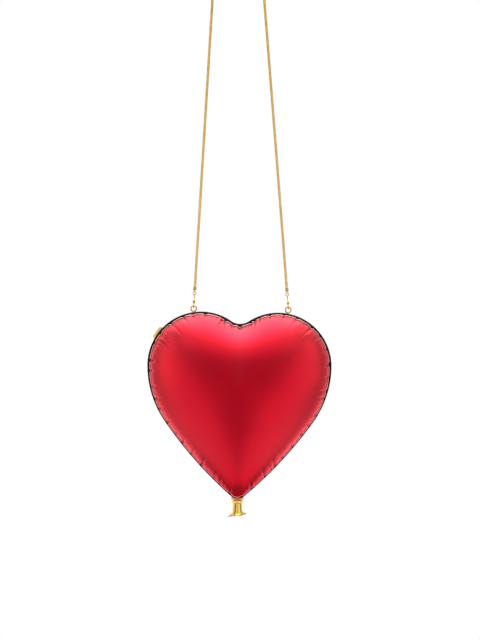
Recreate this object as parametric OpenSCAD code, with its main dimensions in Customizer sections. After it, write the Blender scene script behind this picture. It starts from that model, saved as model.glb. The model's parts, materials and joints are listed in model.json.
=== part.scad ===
// Heart-shaped hard-case evening bag, made to look like an inflated foil balloon.
// The bag hangs from its chain strap. The origin is the underside of the strap's
// top run, where a hand or a hook holds it. +X is the bag's right side as seen
// from the front, the front lid faces -Y and +Z is up.

/* [Heart outline] */
// Width of the heart across its lobes
heart_w = 165; // [135:1:200]
// Height of the lobe centres above the heart's reference level
lobe_z = 31; // [25:1:38]
// Radius of each lobe
lobe_r = 48; // [42:1:56]
// Radius of the side below each lobe
side_r = 87; // [75:1:105]
// Radius of the long, nearly straight flank
flank_r = 360; // [300:10:430]
// Radius of the tip
tip_r = 8.8; // [8.6:0.1:10.5]
// Radius of the cleft between the lobes
cleft_r = 14; // [12:1:17]

/* [Case] */
// Depth of each half, from the seam to the crown
half_d = 31; // [26:1:37]
// Wall of the moulded shells
shell_wall = 2; // [1.6:0.1:2.5]
// Thickness of the fabric lining on its board
lining_t = 0.8; // [0.6:0.1:1]
// Width of the metal rim, from the outline inwards
rim_w = 6.5; // [6.4:0.1:7.8]
// Thickness of each metal rim
rim_t = 3; // [2.8:0.1:3.6]
// Width of bare rim outside the shell's flange
rim_line = 1.8; // [1.5:0.1:2.2]
// Thickness of the shell's flange on the rim
flange_t = 1; // [0.8:0.1:1.2]
// Width of the shell's flat flange
flange_w = 1.6; // [1.3:0.1:1.9]
// Gap between the closed rims
seam_gap = 0.3; // [0.24:0.02:0.36]

/* [Hinge] */
// Direction of the flank where the hinge sits
hinge_dir = -37; // [-40:1:-36]
// Length of the hinge
hinge_l = 40; // [33:1:48]
// Radius of the knuckles
knuckle_r = 1.5; // [1.3:0.05:1.6]
// Radius of the hinge pin
hinge_pin_r = 0.5; // [0.4:0.05:0.6]
// Distance of the pin from the outline
hinge_in = 1.8; // [1.7:0.05:2]
// Thickness of the hinge leaves
leaf_t = 0.8; // [0.7:0.05:0.95]
// Radius of the leaf screws
leaf_screw_r = 0.45; // [0.4:0.05:0.5]

/* [Clasp] */
// Direction of the clasp from the left lobe's centre
clasp_dir = 144; // [130:1:160]
// Length of the clasp
clasp_l = 12.6; // [10.5:0.1:15]
// How far the bezel stands outside the rim
bezel_out = 1.1; // [0.9:0.1:1.3]
// How far the button stands outside the bezel
button_out = 1.1; // [1:0.1:1.3]
// Travel of the button
button_travel = 1; // [0.8:0.1:1]
// Radius of the button's stem
stem_r = 0.5; // [0.4:0.05:0.55]

/* [Strap fittings] */
// Centre of the left eyelet, measured from the middle of the heart
left_eyelet_x = -41.8; // [-50:0.2:-35]
// Centre of the right eyelet, measured from the middle of the heart
right_eyelet_x = 43; // [36:0.2:51]
// Height of the eyelet rings' lowest point above the heart's reference level
eyelet_foot = 79; // [78.7:0.1:80.5]
// Depth of the eyelets behind the seam
eyelet_y = 1.2; // [1.1:0.05:1.6]
// Radius of the eyelet rings at the middle of the wire
eyelet_r = 2.5; // [2.3:0.1:3]
// Radius of the eyelet wire
eyelet_wire = 0.65; // [0.5:0.05:0.7]
// Diameter of the snake chain
chain_d = 2.4; // [2:0.1:2.8]

/* [Knot] */
// Diameter of the collar that wraps the tip
collar_d = 11.3; // [10:0.1:13.5]
// Diameter of the ring below the collar
knot_ring_d = 10.5; // [9:0.1:12.6]
// Diameter of the fluted neck
neck_d = 8.3; // [7:0.1:9.9]
// Width of the flared skirt
skirt_w = 18; // [15:0.5:21.5]
// Depth of the flared skirt, front to back
skirt_d = 12; // [10:0.5:14]
// Height of the whole knot below the heart's tip
knot_h = 15.2; // [12.7:0.1:18.2]
// Depth of the knot's axis behind the seam
knot_y = 1.6; // [1.4:0.05:1.7]

/* [Hidden] */
$fn = 48;
drop = 390;                          // height of the swing axis over the middle of the heart

gold = [0.83, 0.62, 0.25];
dark_gold = [0.62, 0.44, 0.16];
foil_red = [0.78, 0.05, 0.13];
rim_dark = [0.2, 0.02, 0.03];
steel = [0.6, 0.6, 0.62];
lining_red = [0.35, 0.03, 0.06];

run_fit = 0.04;    // radial clearance of a pin that turns in its bore
slide_fit = 0.1;   // clearance beside a piece that slides or swings in a slot
pass = 0.01;       // how far a cutting solid runs past the face it cuts
deep = 20;         // reach of a cut that goes right through

// ---- the heart's outline: a chain of tangent arcs, the same on both sides ----

function dir(a) = [cos(a), sin(a)];
function arc(c, r, a0, a1, n, first = 1) =
    [for (i = [first : n]) c + r * dir(a0 + (a1 - a0) * i / n)];

side_a = -35;      // direction in which the side arc hands over to the flank
lobe_c = [heart_w / 2 - lobe_r, lobe_z];
side_c = lobe_c - [side_r - lobe_r, 0];
flank_c = side_c - (flank_r - side_r) * dir(side_a);
tip_a = -acos(-flank_c.x / (flank_r - tip_r));
tip_c = flank_c + (flank_r - tip_r) * dir(tip_a);
cleft_c = [0, lobe_z + sqrt(pow(lobe_r + cleft_r, 2) - pow(lobe_c.x, 2))];
cleft_a = atan2(cleft_c.y - lobe_c.y, cleft_c.x - lobe_c.x);
tip_z = tip_c.y - tip_r;

function right_side(inset) = concat(
    arc(tip_c, tip_r - inset, -90, tip_a, 3, 0),
    arc(flank_c, flank_r - inset, tip_a, side_a, 5),
    arc(side_c, side_r - inset, side_a, 0, 4),
    arc(lobe_c, lobe_r - inset, 0, cleft_a, 13),
    arc(cleft_c, cleft_r + inset, cleft_a - 180, -90, 3));

function outline(inset) =
    let (r = right_side(inset), last = len(r) - 1)
    concat(r, [for (i = [last - 1 : -1 : 1]) [-r[i].x, r[i].y]]);

// ---- lofting: rings of points joined by triangles, closed at both ends ----

function ring_faces(k, n) = [for (i = [0 : n - 1], half = [0, 1])
    let (j = (i + 1) % n, a = k * n + i, b = k * n + j, c = a + n, d = b + n)
    half == 0 ? [a, b, c] : [b, d, c]];

module loft(rings, start, end) {
    n = len(rings[0]);
    m = len(rings);
    points = concat([for (r = rings, p = r) p], [start, end]);
    caps = [for (i = [0 : n - 1], side = [0, 1])
        let (j = (i + 1) % n)
        side == 0 ? [m * n, j, i] : [m * n + 1, (m - 1) * n + i, (m - 1) * n + j]];
    strips = [for (k = [0 : m - 2], f = ring_faces(k, n)) f];
    polyhedron(points, concat(caps, strips));
}

// ---- placing: both halves are drawn flat, seam at 0 and crown upwards ----

module in_front() {
    translate([0, 0, -drop]) rotate([90, 0, 0]) children();
}

module in_back() {
    mirror([0, 1, 0]) in_front() children();
}

// Local x points out of the rim, local y runs along it
hinge_at = flank_c + flank_r * dir(hinge_dir);
module at_hinge() {
    translate([hinge_at.x, hinge_at.y, 0]) rotate([0, 0, hinge_dir]) children();
}

clasp_at = [-lobe_c.x, lobe_c.y] + lobe_r * dir(clasp_dir);
module at_clasp() {
    translate([clasp_at.x, clasp_at.y, 0]) rotate([0, 0, clasp_dir]) children();
}

// A box given by its lowest and highest corners
module block(low, high) {
    translate(low) cube(high - low);
}

// A ring of round wire, flat in the XZ plane
module wire_ring(ring_r, wire_r) {
    rotate([90, 0, 0]) rotate_extrude() translate([ring_r, 0]) circle(wire_r, $fn = 24);
}

// ---- case halves ----

crown = [0, 10];   // point of the outline plane under the crown
pillow_rows = 8;

// One ring of points at a height above the seam
function level(points, v) = [for (p = points) [p.x, p.y, v]];

// Rings of a pillow that rises from an inset of the outline and closes at its crown
function pillow(inset, base, rise) = [for (k = [0 : pillow_rows - 1])
    let (a = 90 * k / pillow_rows, edge = outline(inset))
    level([for (p = edge) crown + (p - crown) * cos(a)], base + rise * sin(a))];

function reversed(list) = [for (i = [len(list) - 1 : -1 : 0]) list[i]];
function crown_point(v) = [crown.x, crown.y, v];

flange_in = rim_line + flange_w;     // inset at which the pillow starts to rise
pillow_base = rim_t + flange_t;
outer_rise = half_d - pillow_base;
inner_rise = half_d - shell_wall - rim_t;

module shell() {
    rings = concat(
        reversed(pillow(flange_in, pillow_base, outer_rise)),
        [level(outline(rim_line), pillow_base), level(outline(rim_line), rim_t)],
        pillow(rim_w, rim_t, inner_rise));
    loft(rings, crown_point(half_d), crown_point(half_d - shell_wall));
}

module lining() {
    rings = concat(
        reversed(pillow(rim_w, rim_t, inner_rise)),
        pillow(rim_w + lining_t, rim_t, inner_rise - lining_t));
    loft(rings, crown_point(half_d - shell_wall), crown_point(half_d - shell_wall - lining_t));
}

rim_step = 0.8;    // how far the rim's front edge steps in
rim_step_v = 2.2;  // height of that step

module rim_blank() {
    difference() {
        union() {
            translate([0, 0, seam_gap / 2])
                linear_extrude(rim_step_v - seam_gap / 2) polygon(outline(0));
            translate([0, 0, rim_step_v])
                linear_extrude(rim_t - rim_step_v) polygon(outline(rim_step));
        }
        translate([0, 0, -1]) linear_extrude(deep) polygon(outline(rim_w));
    }
}

// ---- hinge: five knuckles, hidden inside the outline ----

knuckles = 5;
knuckle_gap = 0.3;
pocket_gap = 0.25;                       // room around the knuckles
knuckle_pitch = hinge_l / knuckles;
leaf_out = -(hinge_in + knuckle_r + 0.2);  // local x where the leaf's plate starts
leaf_in = -(rim_w - 0.2);                // local x where it ends
screw_x = (leaf_out + leaf_in) / 2;
screw_pitch = hinge_l / 3;
screw_head_r = 0.8;
screw_head_t = 0.4;
screw_end = 2.4;                         // depth of the screw's point in the rim
seam = seam_gap / 2;

module along_hinge(r, length) {
    translate([-hinge_in, 0, 0]) rotate([90, 0, 0]) cylinder(r = r, h = length, center = true);
}

module hinge_pocket() {
    half = hinge_l / 2 + knuckle_gap;
    along_hinge(knuckle_r + pocket_gap, 2 * half);
    block([-hinge_in, -half, -1], [4, half, knuckle_r + pocket_gap]);
    block([leaf_in, -hinge_l / 2, -1], [-hinge_in, hinge_l / 2, seam + leaf_t]);
    for (i = [-1 : 1])
        translate([screw_x, i * screw_pitch, 0]) cylinder(r = leaf_screw_r, h = screw_end);
}

// Room in the back rim for the lid's edge, which swings in behind the pin
swing_half = 38;
module swing_relief() {
    depth = hinge_in + pocket_gap;
    block([-depth, -swing_half, -1], [4, swing_half, depth]);
}

// first is 0 for the leaf with the end knuckles and 1 for the other
module hinge_leaf(first, bore_r) {
    difference() {
        union() {
            block([leaf_in, -hinge_l / 2, seam], [leaf_out, hinge_l / 2, seam + leaf_t]);
            for (k = [first : 2 : knuckles - 1]) {
                y = -hinge_l / 2 + (k + 0.5) * knuckle_pitch;
                half = (knuckle_pitch - knuckle_gap) / 2;
                translate([0, y, 0]) along_hinge(knuckle_r, 2 * half);
                block([leaf_out - pass, y - half, seam], [-hinge_in, y + half, seam + leaf_t]);
            }
        }
        along_hinge(bore_r, hinge_l + 2);
        for (i = [-1 : 1]) translate([screw_x, i * screw_pitch, 0]) {
            cylinder(r = leaf_screw_r, h = deep, center = true);
            cylinder(r = screw_head_r, h = seam + screw_head_t);
        }
    }
}

module leaf_screws() {
    for (i = [-1 : 1]) translate([screw_x, i * screw_pitch, seam]) {
        cylinder(r = screw_head_r, h = screw_head_t);
        cylinder(r = leaf_screw_r, h = screw_end - seam);
    }
}

// ---- clasp: a sprung push button that frees a leaf catch on the lid ----

bezel_in = 0.9;          // depth of the bezel's seat in the back rim
bezel_wall = 0.6;
bezel_v0 = seam;
bezel_v1 = rim_t;
button_v0 = bezel_v0 + 0.5;
button_v1 = bezel_v1 - 0.5;
clasp_v = (button_v0 + button_v1) / 2;    // height of the button's stem
button_half = clasp_l / 2 - bezel_wall - slide_fit;
button_back = button_travel + 0.1 - bezel_in;  // inner face of the button's head
spring_seat = -(rim_w - 2);               // floor of the spring's counterbore
spring_r = 0.9;
spring_wire = 0.14;
notch_x = -(rim_w - 0.8);                 // floor of the catch's notch
notch_half = 3.5;
clip_t = 0.3;
stem_end = notch_x - clip_t - 0.25;
nose_x = stem_end - 0.2;                  // the catch's nose waits behind the stem
leaf_x = -(rim_w + 0.2);                  // outer face of the catch's spring leaf
catch_t = 0.4;
catch_half = 2.6;
catch_seat = -(rim_w - 0.3);              // flat on the lid rim's inner wall
catch_v0 = 0.5;
catch_v1 = rim_t - 0.3;
rivet_r = 0.4;

module clasp_seat() {
    block([-bezel_in, -clasp_l / 2, -1], [4, clasp_l / 2, deep]);
}

module clasp_room_back() {
    clasp_seat();
    translate([0, 0, clasp_v]) rotate([0, -90, 0]) {
        cylinder(r = stem_r + slide_fit, h = rim_w - 0.8 + pass);
        cylinder(r = spring_r + 0.15, h = -spring_seat);
    }
    block([-deep / 2, -notch_half, clasp_v - 0.9], [notch_x, notch_half, clasp_v + 0.95]);
}

module clasp_bezel_body() {
    difference() {
        block([-bezel_in, -clasp_l / 2, bezel_v0], [bezel_out, clasp_l / 2, bezel_v1]);
        block([-deep, -clasp_l / 2 + bezel_wall, button_v0 - slide_fit],
              [deep, clasp_l / 2 - bezel_wall, button_v1 + slide_fit]);
    }
}

module clasp_button_body() {
    head_out = bezel_out + button_out;
    block([button_back, -button_half, button_v0], [head_out, button_half, button_v1]);
    translate([0, 0, clasp_v]) rotate([0, -90, 0]) cylinder(r = stem_r, h = -stem_end);
}

module button_clip_body() {
    translate([notch_x - 0.05, 0, clasp_v]) rotate([0, -90, 0]) difference() {
        cylinder(r = stem_r + 0.3, h = clip_t);
        translate([0, 0, -1]) cylinder(r = stem_r, h = 3);
    }
}

spring_turns = 6;
spring_steps = 10;
module button_spring_body() {
    length = button_back - spring_seat;
    coil_r = spring_r - spring_wire;
    count = spring_turns * spring_steps;
    pitch = (length - 2 * spring_wire) / count;
    rings = [for (i = [0 : count])
        let (a = 360 * i / spring_steps)
        [for (s = [0 : 5])
            let (r = coil_r + spring_wire * cos(60 * s))
            [button_back - spring_wire - i * pitch + spring_wire * sin(60 * s),
             r * cos(a), clasp_v + r * sin(a)]]];
    function middle(ring) = [for (k = [0 : 2]) (ring[0][k] + ring[3][k]) / 2];
    loft(rings, middle(rings[0]), middle(rings[count]));
}

// Drawn in the lid's half: the leaf reaches across the seam into the back rim's notch
module catch_spring_body() {
    nose_v = clasp_v + 0.5;
    difference() {
        union() {
            block([leaf_x - catch_t, -catch_half, -nose_v - 0.4], [leaf_x, catch_half, catch_v1]);
            block([leaf_x - pass, -catch_half, catch_v0], [catch_seat, catch_half, catch_v1]);
        }
        catch_holes();
    }
    block([leaf_x - pass, -catch_half, -nose_v], [nose_x, catch_half, -nose_v + 0.9]);
}

module catch_holes() {
    for (y = [-1.5, 1.5]) translate([-deep / 2, y, 1.6]) rotate([0, 90, 0])
        cylinder(r = rivet_r, h = deep / 2 - rim_w + 2);
}

module catch_room() {
    catch_holes();
    block([-deep / 2, -catch_half, -1], [catch_seat, catch_half, catch_v1]);
}

module catch_rivets_body() {
    for (y = [-1.5, 1.5]) translate([leaf_x - catch_t, y, 1.6]) rotate([0, 90, 0]) {
        translate([0, 0, -0.3]) cylinder(r = rivet_r + 0.3, h = 0.3);
        cylinder(r = rivet_r, h = catch_t + 2.2);
    }
}

// ---- strap eyelets on the back rim ----

stud_r = 0.7;
base_r = eyelet_y - seam;
eyelet_z = eyelet_foot + eyelet_r;
function lobe_top(x) = lobe_c.y + sqrt(pow(lobe_r, 2) - pow(abs(x) - lobe_c.x, 2));
function stud_end(x) = lobe_top(x) - rim_w - 0.9;
base_up = 0.5;     // how far the base stands above the rim
base_down = 1;     // how far it is let into it

module eyelet_shank(x) {
    translate([x, eyelet_y, stud_end(x) - drop])
        cylinder(r = stud_r, h = lobe_top(x) - stud_end(x));
    translate([x, eyelet_y, lobe_top(x) - base_down - drop])
        cylinder(r = base_r, h = base_down + base_up);
}

module eyelet(x) {
    eyelet_shank(x);
    translate([x, eyelet_y, eyelet_z - drop]) wire_ring(eyelet_r, eyelet_wire);
    translate([x, eyelet_y, lobe_top(x) - drop])
        cylinder(r = eyelet_wire, h = eyelet_z - eyelet_r - lobe_top(x));
}

module eyelet_room(x) {
    eyelet_shank(x);
    translate([x, eyelet_y, lobe_top(x) - base_down - drop]) cylinder(r = base_r, h = deep);
}

// ---- strap fittings, drawn upright from the middle of the eyelet's top wire ----

hook_r = eyelet_wire + 0.9;    // middle of the hook's wire around the eyelet's
hook_wire = 0.5;
head_z = 4.3;                  // centre of the lobster's round head
head_r = 2;
head_half = 1;                 // half thickness of the head
gate_half = 0.45;
gate_y = -0.9;                 // the gate's pivot
gate_z = 4.2;
gate_eye_r = 0.75;
gate_pin_r = 0.3;
slot_in = 0.4;                 // back wall of the gate's slot
slot_top = 5.1;
post_r = 0.42;
post_head_r = 0.7;
post_head_t = 0.35;
eye_r = 1;                     // swivel's eye, seen edge-on
eye_wire = 0.35;
eye_z = 9.8;
jump_r = 1.45;
jump_wire = 0.35;
jump_z = 11.35;
cap_eye_r = 0.85;
cap_eye_wire = 0.3;
cap_eye_z = 12.95;
cap_z = 13.8;
cap_end = 17.2;                // the chain goes 0.2 mm into the cap
cap_r = chain_d / 2 + 0.25;

left_lean = atan2(2, 43);      // the strands lean in towards each other
right_lean = -atan2(4, 43);

module fitting(x, lean) {
    translate([x, eyelet_y, eyelet_z + eyelet_r - drop]) rotate([0, lean, 0]) children();
}
module fitting_left() { fitting(left_eyelet_x, left_lean) children(); }
module fitting_right() { fitting(right_eyelet_x, right_lean) children(); }

// Extrudes a YZ outline to both sides of x = 0
module plate_x(half) {
    rotate([90, 0, 90]) linear_extrude(2 * half, center = true) children();
}

module lobster() {
    difference() {
        union() {
            rotate([90, 0, 90]) rotate([0, 0, 180]) rotate_extrude(angle = 180)
                translate([hook_r, 0]) circle(hook_wire, $fn = 24);
            translate([0, hook_r, 0]) cylinder(r = hook_wire, h = 3.2);
            translate([0, -hook_r, 0]) cylinder(r = hook_wire, h = 0.9);
            plate_x(head_half) translate([0, head_z]) circle(head_r);
        }
        plate_x(gate_half + slide_fit) translate([-4, 1.6]) square([4 + slot_in, slot_top - 1.6]);
        translate([0, gate_y, gate_z]) rotate([0, 90, 0]) cylinder(r = gate_pin_r, h = 4, center = true);
        cylinder(r = post_r + run_fit, h = deep);
        cylinder(r = post_head_r + slide_fit, h = slot_top + post_head_t + slide_fit);
    }
}

module gate() {
    difference() {
        plate_x(gate_half) {
            translate([gate_y, gate_z]) circle(gate_eye_r);
            polygon([[-hook_r - 0.45, 1.05], [-hook_r + 0.45, 1.05],
                     [gate_y + 0.5, gate_z], [gate_y - gate_eye_r, gate_z]]);
            polygon([[-1.3, 3.9], [-3, 3.9], [-3, 3.4], [-1.5, 2.6]]);
        }
        translate([0, gate_y, gate_z]) rotate([0, 90, 0])
            cylinder(r = gate_pin_r + run_fit, h = 4, center = true);
    }
}

module gate_pin() {
    translate([0, gate_y, gate_z]) rotate([0, 90, 0])
        cylinder(r = gate_pin_r, h = 2 * head_half, center = true);
}

module gate_spring() {
    plate_x(0.3) polygon([[slot_in, 4.4], [slot_in, 2.9], [0.25, 2.9], [-0.35, 2.1],
                          [-0.5, 2.2], [0.2, 3.2], [0.2, 4.4]]);
}

module swivel() {
    translate([0, 0, slot_top]) cylinder(r = post_head_r, h = post_head_t);
    cylinder_from(slot_top, eye_z - eye_r, post_r);
    translate([0, 0, eye_z]) rotate([0, 0, 90]) wire_ring(eye_r, eye_wire);
}

module cylinder_from(z0, z1, r) {
    translate([0, 0, z0]) cylinder(r = r, h = z1 - z0);
}

module jump_ring() {
    translate([0, 0, jump_z]) wire_ring(jump_r, jump_wire);
}

module end_cap() {
    cylinder_from(cap_z, cap_end, cap_r);
    translate([0, 0, cap_eye_z]) rotate([0, 0, 90]) wire_ring(cap_eye_r, cap_eye_wire);
}

// ---- chain strap: the strands rise from both ends and turn over the held point ----

// Middle of the chain, left end to right end, as [x, z]
strap_route = [
    [-41, -289], [-39, -246], [-37, -203], [-35, -160], [-33, -117], [-31, -74], [-29, -31],
    [-28, -17], [-25.5, -7.5], [-20, -1.5], [-12, 1.2], [-6, 1.4], [0, 1.2], [8, -1.5],
    [13.5, -7.5], [16.2, -17], [17.5, -31],
    [21.5, -74], [25.5, -117], [29.5, -160], [33.5, -203], [37.5, -246], [41.4, -289]
];
strap_sides = 8;
strap_spacing = 8.6;   // distance between the tube's rings

function curve(p0, p1, p2, p3, t) = 0.5 * (2 * p1 + (p2 - p0) * t
    + (2 * p0 - 5 * p1 + 4 * p2 - p3) * t * t + (3 * p1 - p0 - 3 * p2 + p3) * t * t * t);
function strap_knot(i) = let (n = len(strap_route) - 1)
    i < 0 ? 2 * strap_route[0] - strap_route[1]
    : i > n ? 2 * strap_route[n] - strap_route[n - 1] : strap_route[i];
function strap_middle() = [for (i = [0 : len(strap_route) - 2])
    let (gap = norm(strap_route[i + 1] - strap_route[i]), steps = max(1, round(gap / strap_spacing)))
    for (s = [0 : steps - 1])
        curve(strap_knot(i - 1), strap_knot(i), strap_knot(i + 1), strap_knot(i + 2), s / steps)];

module chain_strap_body() {
    mids = concat(strap_middle(), [strap_route[len(strap_route) - 1]]);
    last = len(mids) - 1;
    rings = [for (i = [0 : last])
        let (way = mids[min(i + 1, last)] - mids[max(i - 1, 0)],
             across = [way.y, -way.x] / norm(way))
        [for (s = [0 : strap_sides - 1])
            let (a = 360 * s / strap_sides, o = chain_d / 2 * cos(a))
            [mids[i].x + across.x * o, eyelet_y + chain_d / 2 * sin(a), mids[i].y + across.y * o]]];
    function at(p) = [p.x, eyelet_y, p.y];
    loft(rings, at(mids[0]), at(mids[last]));
}

// ---- knot under the tip ----

collar_top = tip_z + 2.1;
collar_bottom = tip_z - 1.2;
ring_top = collar_bottom - 0.2;
ring_bottom = ring_top - 3.1;
boss_r = 2;
knot_screw_r = 0.8;
knot_screw_end = ring_bottom - 2;
screw_top = tip_z + rim_w - 1;         // seat of the screw's head in the rim
skirt_slope = 0.215;                   // the skirt's mouth is cut at a slant
flutes = 7;
skirt_points = 42;
skirt_bottom = tip_z - knot_h;

module at_knot(z) {
    translate([0, knot_y, z - drop]) children();
}

module knot_collar_body() {
    difference() {
        at_knot(collar_bottom) cylinder(d = collar_d, h = collar_top - collar_bottom);
        block([-deep, -deep, tip_z - drop - deep], [deep, 2 * seam, tip_z - drop + deep]);
        in_back() linear_extrude(rim_t + flange_t + 0.2) polygon(outline(0));
        at_knot(tip_z - deep) cylinder(r = knot_screw_r, h = 2 * deep);
    }
}

// Half width of the tail at a share of its height, from the ring down to the mouth
function tail_w(s) = neck_d / 2 + (skirt_w - neck_d) / 2 * pow(max(0, s - 0.35) / 0.65, 2.4);
function tail_d(s) = neck_d / 2 + (skirt_d - neck_d) / 2 * pow(max(0, s - 0.35) / 0.65, 2.4);
function tail_ring(s, grow) = [for (i = [0 : skirt_points - 1])
    let (a = 360 * i / skirt_points, fold = 1 + 0.06 * cos(flutes * a) - 0.06,
         x = (tail_w(s) * fold + grow) * cos(a), y = (tail_d(s) * fold + grow) * sin(a))
    [x, knot_y + y, ring_bottom + (skirt_bottom - ring_bottom) * s + skirt_slope * x * s - drop]];

module knot_tail_body() {
    mouth = 0.9;
    outside = [for (k = [0 : 7]) tail_ring(k / 7, 0)];
    inside = [for (s = [1, 0.85, 0.7]) tail_ring(s, -mouth)];
    difference() {
        union() {
            at_knot(ring_bottom) cylinder(d = knot_ring_d, h = ring_top - ring_bottom);
            at_knot(ring_top) cylinder(r = boss_r, h = collar_bottom - ring_top);
            translate([0, 0, pass]) loft(concat(outside, inside),
                [0, knot_y, ring_bottom - drop], [0, knot_y, inside[2][0].z]);
        }
        at_knot(knot_screw_end) cylinder(r = knot_screw_r, h = deep);
    }
}

module knot_screw_body() {
    at_knot(knot_screw_end) cylinder(r = knot_screw_r, h = screw_top - knot_screw_end);
    at_knot(screw_top) cylinder(r = 1.3, h = 0.8);
}

module knot_room() {
    at_knot(tip_z - 2) cylinder(r = knot_screw_r, h = rim_w + 4);
    at_knot(screw_top) cylinder(r = 1.35, h = deep / 2);
}

// ---- the pieces ----

module front_shell() { color(foil_red) in_front() shell(); }
module back_shell() { color(foil_red) in_back() shell(); }

module front_rim() {
    color(rim_dark) in_front() difference() {
        rim_blank();
        at_hinge() hinge_pocket();
        at_clasp() catch_room();
    }
}

module back_rim() {
    color(rim_dark) difference() {
        in_back() difference() {
            rim_blank();
            at_hinge() hinge_pocket();
            at_hinge() swing_relief();
            at_clasp() clasp_room_back();
        }
        eyelet_room(left_eyelet_x);
        eyelet_room(right_eyelet_x);
        knot_room();
    }
}

module front_lining() { color(lining_red) in_front() lining(); }
module back_lining() { color(lining_red) in_back() lining(); }

module front_hinge_leaf() { color(dark_gold) in_front() at_hinge() hinge_leaf(1, hinge_pin_r + run_fit); }
module back_hinge_leaf() { color(dark_gold) in_back() at_hinge() hinge_leaf(0, hinge_pin_r); }
module hinge_pin() { color(steel) in_back() at_hinge() along_hinge(hinge_pin_r, hinge_l); }
module front_leaf_screws() { color(steel) in_front() at_hinge() leaf_screws(); }
module back_leaf_screws() { color(steel) in_back() at_hinge() leaf_screws(); }

module clasp_bezel() { color(dark_gold) in_back() at_clasp() clasp_bezel_body(); }
module clasp_button() { color(gold) in_back() at_clasp() clasp_button_body(); }
module button_spring() { color(steel) in_back() at_clasp() button_spring_body(); }
module button_clip() { color(steel) in_back() at_clasp() button_clip_body(); }
module catch_spring() { color(steel) in_front() at_clasp() catch_spring_body(); }
module catch_rivets() { color(gold) in_front() at_clasp() catch_rivets_body(); }

module left_eyelet() { color(gold) eyelet(left_eyelet_x); }
module right_eyelet() { color(gold) eyelet(right_eyelet_x); }
module left_lobster() { color(gold) fitting_left() lobster(); }
module right_lobster() { color(gold) fitting_right() lobster(); }
module left_gate() { color(gold) fitting_left() gate(); }
module right_gate() { color(gold) fitting_right() gate(); }
module left_gate_pin() { color(dark_gold) fitting_left() gate_pin(); }
module right_gate_pin() { color(dark_gold) fitting_right() gate_pin(); }
module left_gate_spring() { color(steel) fitting_left() gate_spring(); }
module right_gate_spring() { color(steel) fitting_right() gate_spring(); }
module left_swivel() { color(gold) fitting_left() swivel(); }
module right_swivel() { color(gold) fitting_right() swivel(); }
module left_jump_ring() { color(gold) fitting_left() jump_ring(); }
module right_jump_ring() { color(gold) fitting_right() jump_ring(); }
module left_end_cap() { color(gold) fitting_left() end_cap(); }
module right_end_cap() { color(gold) fitting_right() end_cap(); }
module chain_strap() { color(gold) chain_strap_body(); }

module knot_collar() { color(gold) knot_collar_body(); }
module knot_tail() { color(gold) knot_tail_body(); }
module knot_screw() { color(steel) knot_screw_body(); }

front_shell();
back_shell();
front_rim();
back_rim();
front_lining();
back_lining();
front_hinge_leaf();
back_hinge_leaf();
hinge_pin();
front_leaf_screws();
back_leaf_screws();
clasp_bezel();
clasp_button();
button_spring();
button_clip();
catch_spring();
catch_rivets();
left_eyelet();
right_eyelet();
left_lobster();
right_lobster();
left_gate();
right_gate();
left_gate_pin();
right_gate_pin();
left_gate_spring();
right_gate_spring();
left_swivel();
right_swivel();
left_jump_ring();
right_jump_ring();
left_end_cap();
right_end_cap();
chain_strap();
knot_collar();
knot_tail();
knot_screw();
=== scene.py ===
"""Looks of a heart-shaped hard-case evening bag made to look like a foil balloon."""

import json
import logging
import math
from dataclasses import dataclass, field
from enum import Enum

import bmesh
import bpy
import numpy as np
from mathutils import Matrix, Vector


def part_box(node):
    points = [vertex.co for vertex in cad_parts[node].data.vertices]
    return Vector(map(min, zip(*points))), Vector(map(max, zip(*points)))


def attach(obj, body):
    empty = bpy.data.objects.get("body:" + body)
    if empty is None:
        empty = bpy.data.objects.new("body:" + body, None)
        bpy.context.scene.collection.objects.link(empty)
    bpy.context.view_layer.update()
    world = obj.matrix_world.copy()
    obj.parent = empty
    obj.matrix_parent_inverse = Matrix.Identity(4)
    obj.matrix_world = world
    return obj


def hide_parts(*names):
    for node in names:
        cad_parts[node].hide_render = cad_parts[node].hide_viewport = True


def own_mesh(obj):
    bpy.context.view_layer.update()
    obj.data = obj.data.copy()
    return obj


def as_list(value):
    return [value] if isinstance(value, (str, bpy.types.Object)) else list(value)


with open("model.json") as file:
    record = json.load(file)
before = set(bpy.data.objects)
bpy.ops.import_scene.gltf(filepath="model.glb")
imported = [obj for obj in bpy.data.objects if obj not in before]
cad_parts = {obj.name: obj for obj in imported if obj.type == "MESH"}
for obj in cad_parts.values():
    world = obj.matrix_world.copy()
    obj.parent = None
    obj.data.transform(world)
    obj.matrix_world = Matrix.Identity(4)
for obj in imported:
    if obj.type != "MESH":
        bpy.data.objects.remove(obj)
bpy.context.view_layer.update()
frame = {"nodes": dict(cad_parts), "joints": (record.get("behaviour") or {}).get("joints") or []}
LOG = logging.getLogger("heart_bag")
MM = 0.001
MERGE = 0.002 * MM
FLAT_ANGLE = math.radians(1.5)


class Half(Enum):
    """The two halves of the case, by the side of the seam they lie on along y."""

    FRONT = -1
    BACK = 1


class Side(Enum):
    """The two ends of the strap."""

    LEFT = "left"
    RIGHT = "right"


# ---- node trees ----


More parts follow.
